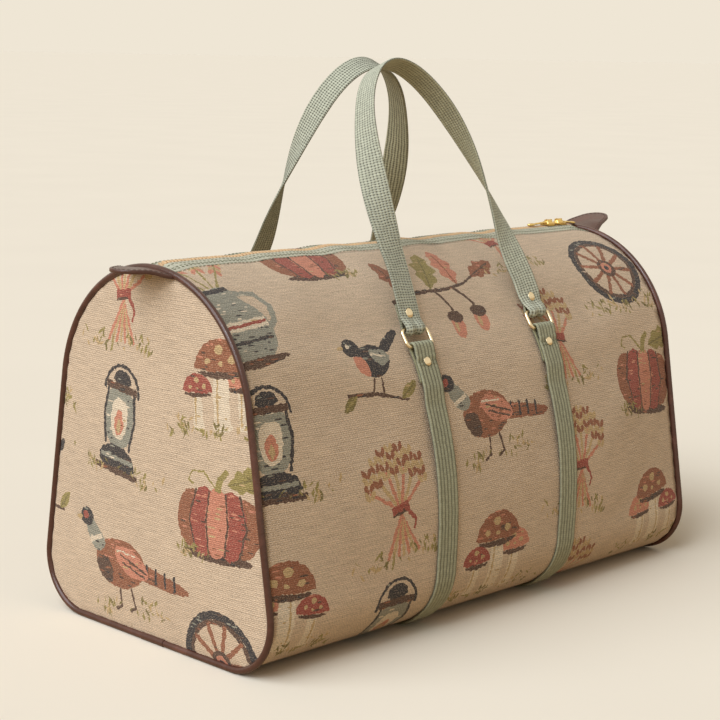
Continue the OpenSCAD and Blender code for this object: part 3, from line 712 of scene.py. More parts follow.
def jug():
    ears = []
    for root, tip in (((-3, 20), (-24, 56)), ((0, 20), (-6, 62)), ((2, 20), (12, 58)), ((4, 20), (29, 50))):
        root, tip = np.array(root, float), np.array(tip, float)
        along = (tip - root) / np.hypot(*(tip - root))
        side = np.array([-along[1], along[0]])
        turn = math.degrees(math.atan2(along[1], along[0]))
        ears.append(stroke("olive", 1.5, root, tip))
        for k in range(5):
            for m in (-1, 1):
                p = tip - along * 4.2 * k + side * 2.4 * m
                ears.append(oval("straw" if k % 2 else "coral", p[0], p[1], 3.6, 1.7, turn - 24 * m, 8))
    return ears + [
        stroke("slate", 4.6, (12, 15), (27, 12), (31, 0), (27, -11), (18, -15)),
        patch("slate", (-13, 11), (-23, -4), (-22, -24), (-10, -34), (10, -34), (22, -24), (23, -4), (13, 11),
              (11, 23), (-11, 23)),
        stroke("cream", 7, (-21.5, -9), (21.5, -9)),
        stroke("red", 2, (-21, -9), (21, -9)),
        stroke("charcoal", 2.2, (-20, -20), (20, -20)),
        stroke("charcoal", 4, (-11, 20), (11, 20)),
        oval("brown", 0, -34, 24, 3),
    ]


def oak_branch():
    twig = [stroke("brown", 4, (-48, -12), (-22, -3), (4, 0), (26, 6), (48, 18), taper=0.6),
            stroke("brown", 2.4, (-6, -1), (2, -12), (4, -18)),
            stroke("brown", 2.4, (14, 3), (24, -8), (27, -13))]
    leaves = []
    for ink, vein, x, y, length, turn in (
            ("chestnut", "brown", -30, -5, 36, 116), ("olive", "moss", -8, 0, 40, 72),
            ("coral", "chestnut", 20, 5, 36, 96), ("chestnut", "brown", 38, 13, 32, 28),
            ("moss", "olive", -30, -7, 32, 236)):
        leaves += leaf(ink, vein, x, y, length, turn, 0.06)
    nuts = []
    for x, y in ((4, -23), (28, -18)):
        nuts += [oval("coral", x, y - 6, 6.2, 9.5), oval("straw", x - 2, y - 7, 1.6, 5),
                 oval("brown", x, y + 1, 7.6, 4.6)]
    return twig + leaves + nuts


def mushrooms():
    shapes = []
    foot = -34
    for x, y, size, ink in ((-19, -6, 0.9, "coral"), (21, -10, 0.75, "red"), (0, 4, 1.25, "chestnut")):
        cap = [(x + 19 * size * math.cos(t), y + 17 * size * math.sin(t)) for t in np.linspace(0, PI, 9)]
        shapes += [
            patch("cream", (x - 6 * size, y), (x - 5 * size, foot + 6), (x - 8 * size, foot),
                  (x + 8 * size, foot), (x + 5 * size, foot + 6), (x + 6 * size, y)),
            stroke("straw", 1.5, (x + 2.5 * size, y - 3), (x + 3 * size, foot + 3)),
            ("brown", np.array(arc(x, y, 16 * size, 180, 360, 12)) * (1, 0.24) + (0, 0.76 * y)),
            patch(ink, *cap, rounds=1),
        ]
        shapes += [oval("straw", x + dx * size, y + dy * size, r * size, 0.8 * r * size, 0, 8)
                   for dx, dy, r in ((-8, 6, 2.8), (1, 11, 3.2), (9, 5, 2.4), (0, 4, 1.8))]
    return shapes + tuft(-34, -35, 18) + tuft(10, -36, 11) + tuft(36, -35, 16)


def cart_wheel():
    rim = np.concatenate([arc(0, 0, 33, 0, 360, 37), arc(0, 0, 27.5, 360, 0, 37)])
    felloe = np.concatenate([arc(0, 0, 27.8, 0, 360, 37), arc(0, 0, 24.5, 360, 0, 37)])
    spokes = [stroke("chestnut", 3.4, *((r * math.cos(a), r * math.sin(a)) for r in (5, 26)))
              for a in np.arange(10) * PI / 5 + 0.2]
    return [("charcoal", rim), ("brown", felloe)] + spokes + [
        oval("brown", 0, 0, 8.5, 8.5), oval("coral", 0, 0, 5.4, 5.4), oval("charcoal", 0, 0, 2.4, 2.4, 0, 10),
    ] + tuft(-27, -36, 20) + tuft(4, -37, 13) + tuft(30, -36, 17)


def hare():
    return [
        patch("cream", (-36, -6), (-43, 0), (-45, -8), (-38, -12)),
        patch("chestnut", (-38, -18), (-36, 4), (-16, 14), (8, 10), (22, 4), (26, -10), (12, -20),
              (-14, -24)),
        patch("brown", (-40, -14), (-34, 2), (-18, 0), (-12, -16), (-22, -28), (-38, -26)),
        stroke("brown", 6.5, (-32, -26), (-14, -29), (-4, -29), taper=0.4),
        stroke("brown", 5.5, (16, -8), (19, -22), (26, -29), taper=0.4),
        stroke("chestnut", 5.5, (9, -12), (10, -24), (16, -30), taper=0.4),
        patch("coral", (10, 8), (16, -12), (28, -10), (30, 6), (22, 16)),
        patch("chestnut", (16, 12), (20, 25), (33, 26), (43, 16), (40, 9), (26, 7)),
        patch("chestnut", (20, 22), (9, 44), (10, 52), (17, 46), (27, 26)),
        patch("coral", (21, 27), (13, 45), (17, 42), (25, 27), rounds=1),
        patch("brown", (27, 24), (26, 46), (30, 53), (34, 44), (33, 24)),
        patch("cream", (30, 10), (40, 10), (42, 14), (34, 14)),
        oval("charcoal", 31.5, 19.5, 2, 2.2, 0, 10),
        oval("charcoal", 42, 15, 1.7, 1.4, 0, 8),
        stroke("straw", 1.3, (-26, 6), (-8, 9), (6, 6)),
        stroke("brown", 1.3, (-20, -6), (0, -8), (10, -14)),
    ] + tuft(-40, -33, 14) + tuft(4, -34, 12) + tuft(38, -33, 16)


def wren():
    return [
        patch("charcoal", (14, 4), (32, 20), (28, 24), (8, 10), rounds=1),
        patch("charcoal", (-16, 6), (-12, -8), (4, -12), (16, -2), (14, 8), (0, 12)),
        patch("slate", (-4, 8), (6, -5), (18, 2), (12, 8)),
        stroke("cream", 1.3, (0, 5), (13, 3)),
        patch("coral", (-17, 4), (-13, -8), (-2, -11), (-6, 2)),
        oval("charcoal", -15, 9, 7.4, 6.4),
        oval("cream", -17, 10, 1.9, 1.9, 0, 8),
        patch("straw", (-21, 11), (-29, 8), (-21, 7), rounds=1),
        stroke("brown", 1.7, (-2, -11), (-4, -20), (-9, -21)),
        stroke("brown", 1.7, (4, -11), (5, -20), (0, -21)),
        stroke("brown", 3, (-26, -22), (0, -21), (26, -25), taper=0.4),
    ] + leaf("olive", "moss", 20, -24, 18, 40) + leaf("moss", "olive", -18, -22, 16, 220)


def sheaf():
    shapes = []
    for k in range(7):
        tip = np.array([7.5 * (k - 3), 34 - 1.2 * (k - 3) ** 2])
        foot = np.array([-4.5 * (k - 3), -34])
        shapes.append(stroke("straw" if k % 2 else "coral", 2.4, foot, (0.8 * (k - 3), -4), tip - (0, 12)))
        for j in range(4):
            ink = "straw" if (j + k) % 2 else "chestnut"
            shapes += [oval(ink, tip[0] + 2 * m, tip[1] - 4.6 * j, 1.8, 3.4, -24 * m, 8) for m in (-1, 1)]
    return shapes + [
        stroke("red", 6, (-7, -5), (7, -3)),
        stroke("brown", 1.5, (-7, -8), (7, -6)),
        stroke("red", 3, (4, -4), (12, -14), (10, -20), taper=0.5),
    ] + tuft(-22, -36, 14) + tuft(22, -36, 13)


MOTIFS = [hare, lantern, oak_branch, pheasant, mushrooms, gourd, cart_wheel, wren, jug, sheaf]


def half_drop(columns, rows, order, scale):
    """Motifs in a half-drop repeat; columns and rows give the middles along and up the cloth."""
    shapes, step = [], 0
    for i, cx in enumerate(columns):
        for j, cy in enumerate(rows):
            draw = MOTIFS[(order * i + 7 * j + i * j) % len(MOTIFS)]
            drop = (rows[1] - rows[0]) / 2 * (i % 2)
            size = scale * (0.94 + 0.12 * ((3 * i + 5 * j) % 7) / 6)
            flip = -1 if (i + 2 * j) % 3 == 0 else 1
            tilt = 7 * math.sin(2.1 * step)
            rng = np.random.default_rng(100 * order + step)
            for ink, outline in draw():
                laid = spin(outline * (flip * size, size), cx, cy + drop, tilt)
                shapes.append((ink, rough_edge(laid, rng)))
                shapes += floats(ink, laid, rng)
            step += 1
    return shapes


def clip(outline, fence):
    """The part of an outline inside a convex fence that runs counter-clockwise."""
    part = [np.asarray(p, float) for p in outline]
    for a, b in zip(fence, np.roll(fence, -1, 0)):
        edge = b - a
        side = [edge[0] * (p[1] - a[1]) - edge[1] * (p[0] - a[0]) for p in part]
        if all(d >= 0 for d in side):
            continue
        kept = []
        for i, p in enumerate(part):
            q, d, e = part[i - 1], side[i], side[i - 1]
            if (d >= 0) != (e >= 0):
                kept.append(q + (p - q) * (e / (e - d)))
            if d >= 0:
                kept.append(p)
        part = kept
        if len(part) < 3:
            return []
    return part


def inside(points, outline):
    """Which points lie inside an outline, by the even-odd rule."""
    hit = np.zeros(len(points), bool)
    x, y = points.T
    for a, b in zip(outline, np.roll(outline, -1, 0)):
        if a[1] == b[1]:
            continue
        cross = (a[1] > y) != (b[1] > y)
        hit ^= cross & (x < a[0] + (y - a[1]) * (b[0] - a[0]) / (b[1] - a[1]))
    return hit


def cut_print(fence, grid, shapes):
    """Flat triangles of a cut of cloth, split along the outlines of its print, and each one's colour."""
    points, edges = [], []

    def loop(outline):
        base, count = len(points), len(outline)
        points.extend(Vector((float(p[0]), float(p[1]))) for p in outline)
        edges.extend((base + i, base + (i + 1) % count) for i in range(count))

    loop(fence)
    for _, outline in shapes:
        part = clip(outline, fence)
        if len(part) > 2:
            loop(part)
    points.extend(Vector((float(p[0]), float(p[1]))) for p in grid)
    flat, _, faces, *_ = delaunay_2d_cdt(points, edges, [], 0, 0.02)
    flat, faces = np.array(flat), np.array(faces)
    middles = flat[faces].mean(1)
    inks = np.full(len(faces), -1)
    names = list(INKS)
    for ink, outline in shapes:
        low, high = outline.min(0), outline.max(0)
        near = np.nonzero(((middles >= low) & (middles <= high)).all(1))[0]
        if len(near):
            inks[near[inside(middles[near], outline)]] = names.index(ink)
    return flat, faces, inks


def paint(obj, inks, ground):
    """Writes the print's colours on the corners of a cloth's faces."""
    table = np.array([linear(*rgb) for rgb in INKS.values()] + [ground])
    colours = np.concatenate([table[inks], np.ones((len(inks), 1))], 1)
    layer = obj.data.color_attributes.new("print", "FLOAT_COLOR", "CORNER")
    layer.data.foreach_set("color", np.repeat(colours, 3, 0).astype(np.float32).ravel())


def rumple(a, b, depth):
    """Soft hollows and rises of filled cloth."""
    rng = np.random.default_rng(11)
    total = np.zeros_like(a)
    longest = 190
    for _ in range(14):
        turn, length, phase = rng.uniform(0, PI), rng.uniform(55, longest), rng.uniform(0, 2 * PI)
        far = a * math.cos(turn) + b * math.sin(turn)
        total += np.sin(2 * PI / length * far + phase) * (length / longest) ** 0.6
    return depth * total / 3


def surface_normals(place_at, flat, step=1.2):
    """Normals of a mapped sheet, from points a little to each side."""
    along = place_at(flat + (step, 0)) - place_at(flat - (step, 0))
    up = place_at(flat + (0, step)) - place_at(flat - (0, step))
    normal = np.cross(along, up)
    return normal / np.maximum(np.linalg.norm(normal, axis=1), 1e-9)[:, None]


def settle(name, place_at, us, vs, held):
    """Lets a grid of filled cloth sag between what holds it, and returns its folds as a smooth field."""
    flat = np.stack(np.meshgrid(us, vs, indexing="ij"), -1).reshape(-1, 2)
    mesh = bpy.data.meshes.new(name)
    start = place_at(flat)
    mesh.from_pydata((start * MM).tolist(), [], grid_faces(len(us), len(vs)).tolist())
    obj = link(bpy.data.objects.new(name, mesh))
    obj.vertex_groups.new(name="held").add([int(i) for i in np.nonzero(held(flat))[0]], 1.0, "REPLACE")
    cloth = obj.modifiers.new("settle", "CLOTH")
    cloth.settings.quality, cloth.settings.mass = 6, 0.3
    cloth.settings.tension_stiffness, cloth.settings.compression_stiffness = 12, 12
    cloth.settings.shear_stiffness, cloth.settings.bending_stiffness = 4, 0.6
    cloth.settings.vertex_group_mass = "held"
    cloth.settings.use_pressure, cloth.settings.uniform_pressure_force = True, 3.0
    cloth.settings.effector_weights.gravity = 0.2
    cloth.collision_settings.use_collision = False
    scene = bpy.context.scene
    for step in range(1, SETTLE_STEPS + 1):
        scene.frame_set(step)
    moved = np.empty(3 * len(flat))
    obj.evaluated_get(bpy.context.evaluated_depsgraph_get()).data.vertices.foreach_get("co", moved)
    bpy.data.objects.remove(obj)
    scene.frame_set(1)
    moves = moved.reshape(-1, 3) / MM - start
    drift = (moves * surface_normals(place_at, flat)).sum(1).reshape(len(us), len(vs))
    capped = np.where(drift > 0, FOLD_RISE * np.tanh(drift / 5), FOLD_SINK * np.tanh(drift / 8))
    capped = np.pad(capped, 1, mode="edge")

    def folds(at):
        where, shares = [], []
        for k, line in ((0, us), (1, vs)):
            t = np.clip((at[:, k] - line[0]) / (line[1] - line[0]), 0, len(line) - 1)
            near = np.rint(t)
            d = t - near
            where.append(near.astype(int))
            shares.append((0.5 * (0.5 - d) ** 2, 0.75 - d * d, 0.5 * (0.5 + d) ** 2))
        return sum(shares[0][i] * shares[1][j] * capped[where[0] + i, where[1] + j]
                   for i in range(3) for j in range(3))

    return folds


def body_cloth(side, depth, pucker, folds=None):
    """The map from the flat cut (along, up from the bottom seam) to the front (-1) or back (1) panel."""

    def place_at(flat):
        x = np.clip(flat[:, 0], -PANEL_END, PANEL_END)
        s = np.clip(HALF_GIRTH - flat[:, 1], PANEL_TOP, HALF_GIRTH - SEAM_GAP)
        over = np.abs(flat[:, 0] - x) + np.abs(HALF_GIRTH - flat[:, 1] - s)
        to_zip, to_end = s - PANEL_TOP, PANEL_END - np.abs(x)
        edge = np.minimum(to_zip, to_end)
        off = -over - BODY_TUCK * (1 - smooth01(edge / TUCK_WIDTH))
        if folds:
            off += folds(flat)
        hollow = rumple(x + 40 * side, s, depth) * smooth01(edge / EASE_LENGTH)
        off += hollow * smooth01((SIDE_END + EASE_LENGTH - s) / 60)
        gathers = np.sin(2 * PI * x / 13 + 1.6 * np.sin(x / 31))
        off += pucker * gathers * np.exp(-to_zip / 9) * smooth01(to_end / 20)
        gathers = np.sin(2 * PI * s / 15 + 1.4 * np.sin(s / 37))
        off += pucker * gathers * np.exp(-to_end / 8) * smooth01(to_zip / 20)
        points = front_point(x, s, 0)
        _, n = seam(s)
        points[:, 1] -= off * n[:, 0]
        points[:, 2] += off * n[:, 1]
        if side > 0:
            points[:, :2] *= -1
        return points

    return place_at


def end_outline(inset, steps=220):
    """The end seam's outline drawn in by a distance, counter-clockwise as seen with +Y to the right."""
    s = np.linspace(0, HALF_GIRTH, steps // 2 + 1)
    point, normal = seam(s)
    half = point - inset * normal
    return np.concatenate([(half * (-1, 1))[:-1], half[::-1][:-1]])


def end_cloth(side, fence, depth, pucker, folds=None):
    """The map from the flat cut (across as seen from outside, up) to the left (-1) or right (1) end."""
    ring = fence - OUTLINE_MIDDLE
    angle = np.arctan2(ring[:, 1], ring[:, 0])
    order = np.argsort(angle)
    angle, reach = angle[order], np.hypot(*ring.T)[order]
    angle = np.concatenate([angle - 2 * PI, angle, angle + 2 * PI])
    reach = np.tile(reach, 3)

    def place_at(flat):
        away = flat - OUTLINE_MIDDLE
        far, turn = np.hypot(*away.T), np.arctan2(away[:, 1], away[:, 0])
        rim = np.interp(turn, angle, reach)
        share = np.minimum(far / rim, 1)
        edge = rim - np.minimum(far, rim)
        x = SEAM_X + CLOTH_T / 2 + END_SWELL * (1 - share ** 2) - END_TUCK * (1 - smooth01(edge / TUCK_WIDTH))
        x += rumple(flat[:, 0] + 300 * side, flat[:, 1], depth) * smooth01(edge / EASE_LENGTH)
        if folds:
            x += folds(flat)
        x += pucker * np.sin(turn * 62 + 2 * np.sin(turn * 7)) * np.exp(-edge / 8)
        return np.stack([side * x, side * flat[:, 0], flat[:, 1]], 1)

    return place_at


def printed_panel(name, cloth, cut, settling, size, finish, ground):
    """A panel of printed cloth in its folds, and its flat triangles; cloth maps the flat cut to its place."""
    flat, faces, inks = cut_print(*cut)
    folds = settle(f"{name}_settling", cloth(0, 0), *settling)
    place_at = cloth(size.rumple / MM, size.pucker / MM, folds)
    obj = mesh_object(f"{name}_cloth", place_at(flat), faces, finish, flat, surface_normals(place_at, flat))
    paint(obj, inks, ground)
    return obj, flat[faces]


def lattice(low, high, step):
    """Points of a flat lattice between two corners."""
    across, up = (rows_between(a, b, step) for a, b in zip(low, high))
    return np.stack(np.meshgrid(across, up), -1).reshape(-1, 2)


class CARPETBAG_OT_cloth(bpy.types.Operator):
    """Makes the four panels of printed cloth"""

    bl_idname = "carpetbag.cloth"
    bl_label = "Printed cloth"

    def execute(self, context):
        size = context.scene.carpetbag_sizes
        ground = tuple(context.scene.carpetbag_colours.ground)
        finish = tapestry_finish(ground)
        self.make_sides(size, finish, ground)
        self.make_ends(size, finish, ground)
        return {"FINISHED"}

    def make_sides(self, size, finish, ground):
        tall = HALF_GIRTH - PANEL_TOP
        width, low, high = PANEL_END + HEM, -SEAM_GAP - HEM, tall + HEM
        fence = np.array([(-width, low), (width, low), (width, high), (-width, high)])
        grid = lattice((-PANEL_END, 0), (PANEL_END, tall), size.cloth_grid / MM)
        us, vs = rows_between(-PANEL_END, PANEL_END, SETTLE_GRID), rows_between(0, tall, SETTLE_GRID)

        def held(p):
            sewn = np.minimum(PANEL_END - np.abs(p[:, 0]), tall - p[:, 1]) < 1
            return sewn | (p[:, 1] < HALF_GIRTH - SIDE_END - EASE_LENGTH)

        for name, side, order in (("front", -1, 3), ("back", 1, 4)):
            shapes = half_drop(np.arange(-2, 3) * MOTIF_COLUMN + 14 * side, np.arange(0, 5) * MOTIF_ROW - 42,
                               order, size.motif_scale)
            obj, _ = printed_panel(name, partial(body_cloth, side), (fence, grid, shapes), (us, vs, held),
                                   size, finish, ground)
            place(obj, "bag", "tapestry", f"{name}_panel")

    def make_ends(self, size, finish, ground):
        fence = end_outline(PIPING_R + SEAM_GAP)
        inner = OUTLINE_MIDDLE + (fence - OUTLINE_MIDDLE) * 0.985
        low, high = fence.min(0), fence.max(0)
        grid = lattice(low, high, size.cloth_grid / MM)
        grid = grid[inside(grid, inner)]
        us, vs = (rows_between(a, b, SETTLE_GRID) for a, b in zip(low, high))
        for name, side, order in (("left_end", -1, 3), ("right_end", 1, 6)):
            shapes = half_drop(np.arange(-1, 2) * MOTIF_COLUMN + 30 * side, np.arange(0, 4) * MOTIF_ROW + 4,
                               order, size.motif_scale)
            obj, corners = printed_panel(name, partial(end_cloth, side, fence), (fence, grid, shapes),
                                         (us, vs, lambda p: ~inside(p, inner)), size, finish, ground)
            place(obj, "bag", "tapestry", f"{name}_panel")


class CARPETBAG_OT_piping(bpy.types.Operator):
    """Makes the leather piping along the two end seams"""

    bl_idname = "carpetbag.piping"
    bl_label = "Piping"

    def execute(self, context):
        look = context.scene.carpetbag_colours
        finish = leather_finish("piping leather", tuple(look.leather), 0.15, 0.00006)
        tree = cord_tree()
        outline = end_outline(0.0, 360)
        for name, side in (("left", -1), ("right", 1)):
            ring = [(side * SEAM_X, p[0], p[1]) for p in outline]
            obj = grow(f"{name}_piping_cord", line_mesh("ring", [(ring, True)]), tree,
                       cord_radius=PIPING_R * MM, sides=18, material=finish)
            place(obj, "bag", "leather", f"{name}_piping")
            low = [(side * SEAM_X, -side * y, SEAM_Z + SEAM_GAP) for y in np.linspace(-14, 12, 14)]
            sleeve = grow(f"{name}_piping_sleeve", line_mesh("sleeve", [(low, False)]), tree,
                          cord_radius=(PIPING_R + SLEEVE_WALL) * MM, sides=18, material=finish)
            place(sleeve, "bag", "leather")
        return {"FINISHED"}


def tab_outline(half, tip, length, steps=96):
    """The tab's outline from above, its seam at x = 0: straight sides that draw in to a round tip."""
    middle = length - tip
    turn = math.degrees(math.atan2(half, -middle) - math.acos(tip / math.hypot(middle, half)))
    round_end = [(middle + x, y) for x, y in arc(0, 0, tip, -turn, turn, 25)]
    path = np.array([(0.0, -half), *round_end, (0.0, half), (0.0, -half)])
    return at_lengths(path, np.linspace(0, lengths(path)[-1], steps, endpoint=False))


def lay_tab(points, side, tilt):
    """Lays a flat tab on its seam: bowed along the dome at its root, tilted up to its tip."""
    x, y, z = points.T
    z = z - (y * y / (2 * DOME_R) + 0.6) * smooth01(1.15 - x / 17)
    return np.stack([side * (SEAM_X + 0.9 + x * math.cos(tilt) - z * math.sin(tilt)), y,
                     SEAM_Z + BAG_HEIGHT - 0.8 + x * math.sin(tilt) + z * math.cos(tilt)], 1)


class CARPETBAG_OT_tabs(bpy.types.Operator):
    """Makes the leather tabs at the ends of the zip"""

    bl_idname = "carpetbag.tabs"
    bl_label = "End tabs"

    def execute(self, context):
        look, size = context.scene.carpetbag_colours, context.scene.carpetbag_sizes
        finish = leather_finish("tab leather", tuple(look.leather), 0.28, 0.00012)
        thread = thread_finish("tab thread", tuple(look.thread))
        profile = [(1.0, 0.0), (1.0, 0.45), (0.99, 0.85), (0.97, 1.0), (0.9, 1.0), (0.7, 1.0), (0.4, 1.0),
                   (0.15, 1.0)]
        rings = [(k, -z) for k, z in profile[:0:-1]] + profile
        tree = stitch_tree()
        for name, side, tilt, narrow, longer in (("left", -1, size.left_tilt, 1, -4),
                                                 ("right", 1, size.right_tilt, 4, 3)):
            length = TAB_LENGTH + longer
            outline = tab_outline(TAB_WIDTH / 2 - narrow, TAB_TIP_R + 3, length)
            middle = np.array([length * 0.4, 0.0])
            n = len(outline)
            spread = outline - middle
            flat = np.concatenate([np.column_stack([middle + spread * k, np.full(n, z * TAB_T / 2)])
                                   for k, z in rings])
            faces = ring_faces(len(rings), n)
            faces += [tuple(range(n))[::-1], tuple(range((len(rings) - 1) * n, len(rings) * n))]
            obj = face_out(mesh_object(f"{name}_leather_tab", lay_tab(flat, side, tilt), faces, finish))
            place(obj, "bag", "leather", f"{name}_tab")
            inner = np.column_stack([middle + spread * TAB_STITCH_IN, np.full(n, TAB_T / 2 + 0.05)])
            inner = inner[inner[:, 0] > 3.5]
            start = int(np.argmax(np.hypot(*np.diff(inner[:, :2], axis=0, append=inner[:1, :2]).T))) + 1
            line = lay_tab(np.roll(inner, -start, 0), side, tilt)
            stitches = grow(f"{name}_tab_stitches", line_mesh("stitch", [(line, False)]), tree,
                            pitch=size.stitch_pitch, stitch=(0.0014, 0.00045, 0.0003), material=thread)
            place(stitches, "bag", "leather")
        return {"FINISHED"}


def ribbon(name, middles, faces_out, across, widths, material, ribs=8, gather=None):
    """Webbing along stations: middles, the way its face looks, the way across, widths and gathers."""
    per = 4
    k = np.linspace(-1, 1, ribs * per + 1)
    groove = np.abs(np.cos(PI * ribs * (k + 1) / 2)) ** 3
    height = 1 - 0.32 * groove
    height[[0, -1]] = 0.35
    ring_k = np.concatenate([k, k[::-1]])
    ring_h = np.concatenate([height, -height])
    count, n = len(ring_k), len(middles)
    step = np.concatenate([[0], np.cumsum(np.linalg.norm(np.diff(middles, axis=0), axis=1))])
    rise = np.tile(ring_h * WEB_T / 2, (n, 1))
    if gather is not None:
        rise += gather[:, None] * 0.8 * (1 - np.cos(2 * PI * ring_k))
    points = (middles[:, None] + ring_k[None, :, None] * (widths[:, None] / 2 * across)[:, None]
              + rise[..., None] * faces_out[:, None])
    over = ring_k * WEB_WIDTH / 2 + np.where(np.arange(count) < len(k), WEB_FACE_V, WEB_UNDER_V)
    uv = np.stack(np.broadcast_arrays(step[:, None], over[None, :]), -1).reshape(-1, 2)
    faces = ring_faces(n, count)
    for first in (0, (n - 1) * count):
        last = first + count - 1
        faces += [(first + j, first + j + 1, last - 1 - j, last - j) for j in range(count // 2 - 1)]
    return face_out(mesh_object(name, points.reshape(-1, 3), faces, material, uv))


SINGLE_OFF = STRAP_GAP + WEB_T / 2
DOUBLE_OFF = SINGLE_OFF + WEB_T + LAYER_GAP
FOLD_R = WIRE_R + RUNNING_GAP + WEB_T / 2
LOWER_BAR = section_point(LEG_X, RING_DROP, SINGLE_OFF + FOLD_R)
NEAR_BAR = section_point(LEG_X, np.array([RING_DROP - 1, RING_DROP + 1]), 0)
RING_LEAN = math.atan2(NEAR_BAR[1, 0] - NEAR_BAR[0, 0], NEAR_BAR[0, 1] - NEAR_BAR[1, 1])
FOLD_UP = np.array([-math.sin(RING_LEAN), math.cos(RING_LEAN)])
FOLD_OUT = np.array([math.cos(RING_LEAN), math.sin(RING_LEAN)])
UPPER_BAR = LOWER_BAR + (RING_HEIGHT + 2 * WIRE_R) * FOLD_UP
HANDLE_INSET = WEB_WIDTH / 2 + FOLD_R
HANDLE_LEAN = (math.asin((UPPER_BAR[0] - 0.9) / math.hypot(HANDLE_RISE, HANDLE_INSET))
               - math.atan2(HANDLE_INSET, HANDLE_RISE))
HANDLE_UP = np.array([0, math.sin(HANDLE_LEAN), math.cos(HANDLE_LEAN)])
HANDLE_OUT = np.array([0, -math.cos(HANDLE_LEAN), math.sin(HANDLE_LEAN)])


def strap_path():
    """The lower strap in its section: up behind the ring, over its bar and down the cloth."""
    tuck, fold_end = RING_DROP + TUCK_LENGTH, RING_DROP + 11
    up = section_point(LEG_X, np.linspace(tuck, RING_DROP + 4, 6), SINGLE_OFF)
    a = np.radians(np.linspace(0, 180, 19))[:, None]
    over = LOWER_BAR + FOLD_R * (np.sin(a) * FOLD_UP - np.cos(a) * FOLD_OUT)
    s = np.linspace(RING_DROP + 3, tuck + 20, 60)
    bulge = SINGLE_OFF + 2 * FOLD_R - DOUBLE_OFF
    drawn_in = 0.55 * smooth01((s - RING_DROP) / 8)
    loose = DOUBLE_OFF + bulge * (1 - drawn_in - 0.45 * smooth01((s - fold_end + 2.5) / 2.5))
    laid = DOUBLE_OFF - (DOUBLE_OFF - SINGLE_OFF) * smooth01((s - tuck - 2) / 18)
    front = section_point(LEG_X, s, np.where(s < fold_end, loose, laid))
    s = np.linspace(tuck + 20, HALF_GIRTH - 0.2, 150)[1:]
    down = section_point(LEG_X, s, SINGLE_OFF)
    return np.concatenate([up, over, front, down])


def handle_stations():
    """Middles, faces, width directions, widths and gathers of a front handle, from tail to tail."""
    base = np.array([0, -UPPER_BAR[0], UPPER_BAR[1]])
    front = WEB_T + LAYER_GAP - FOLD_R

    def width_at(u):
        return HANDLE_END_WIDTH + (WEB_WIDTH - HANDLE_END_WIDTH) * float(smooth01((u - 3) / 9))

    def lean(x, u):
        """A leg's turn, its way out and its way across; the right leg turns a little low down."""
        t = 0.25 * float(smooth01((u - 3) / 14) * (1 - smooth01((u - 45) / 45))) if x > 0 else 0.0
        level = np.array([1.0, 0, 0])
        out = math.cos(t) * HANDLE_OUT - math.sin(t) * level
        return t, out, math.cos(t) * level + math.sin(t) * HANDLE_OUT

    def tail(x):
        rows = [(-FOLD_R, u, 180.0) for u in np.linspace(FLAP_LENGTH, 2, 9)]
        rows += [(FOLD_R * math.cos(math.radians(a)), FOLD_R * math.sin(math.radians(a)), a)
                 for a in np.linspace(-180, 0, 15)]
        result = []
        for f, u, angle in rows:
            a = math.radians(angle)
            _, out, level = lean(x, u)
            result.append((base + (x, 0, 0) + f * out + u * HANDLE_UP,
                           math.cos(a) * out + math.sin(a) * HANDLE_UP,
                           math.copysign(1, x) * level, width_at(u) - 2.5 * float(smooth01(u / 8)),
                           1 - float(smooth01(u / 15))))
        return result

    def arch(a):
        u = HANDLE_RISE * math.sin(a) ** 0.66
        half = LEG_X - HANDLE_DRAW * float(smooth01(u / 60))
        return -half * math.cos(a) - HANDLE_SWAY * math.sin(a), u

    curve = [arch(math.radians(a)) for a in np.linspace(3, 177, 400)]
    path = even([(-LEG_X, 0), *curve, (LEG_X, 0)], 2.4)[1:-1]
    tangent = np.gradient(path, axis=0)
    tangent /= np.linalg.norm(tangent, axis=1)[:, None]
    legs = []
    for (x, u), t in zip(path, tangent):
        back, out, _ = lean(x, u)
        turn = PI / 2 * float(smooth01((u - 39) / 149)) - back
        outward = np.array([-t[1], 0, 0]) + t[0] * HANDLE_UP
        face = math.cos(turn) * HANDLE_OUT + math.sin(turn) * outward
        ahead = np.array([t[0], 0, 0]) + t[1] * HANDLE_UP
        lie = FOLD_R + (front - FOLD_R) * float(smooth01(u / 9))
        lie -= (front + FOLD_R) * float(smooth01((u - 25) / 45))
        legs.append((base + (x, 0, 0) + lie * out + u * HANDLE_UP, face,
                     np.cross(face, ahead), width_at(u), 1 - float(smooth01(u / 15))))
    return [np.array(column) for column in zip(*tail(-LEG_X), *legs, *tail(LEG_X)[::-1])]


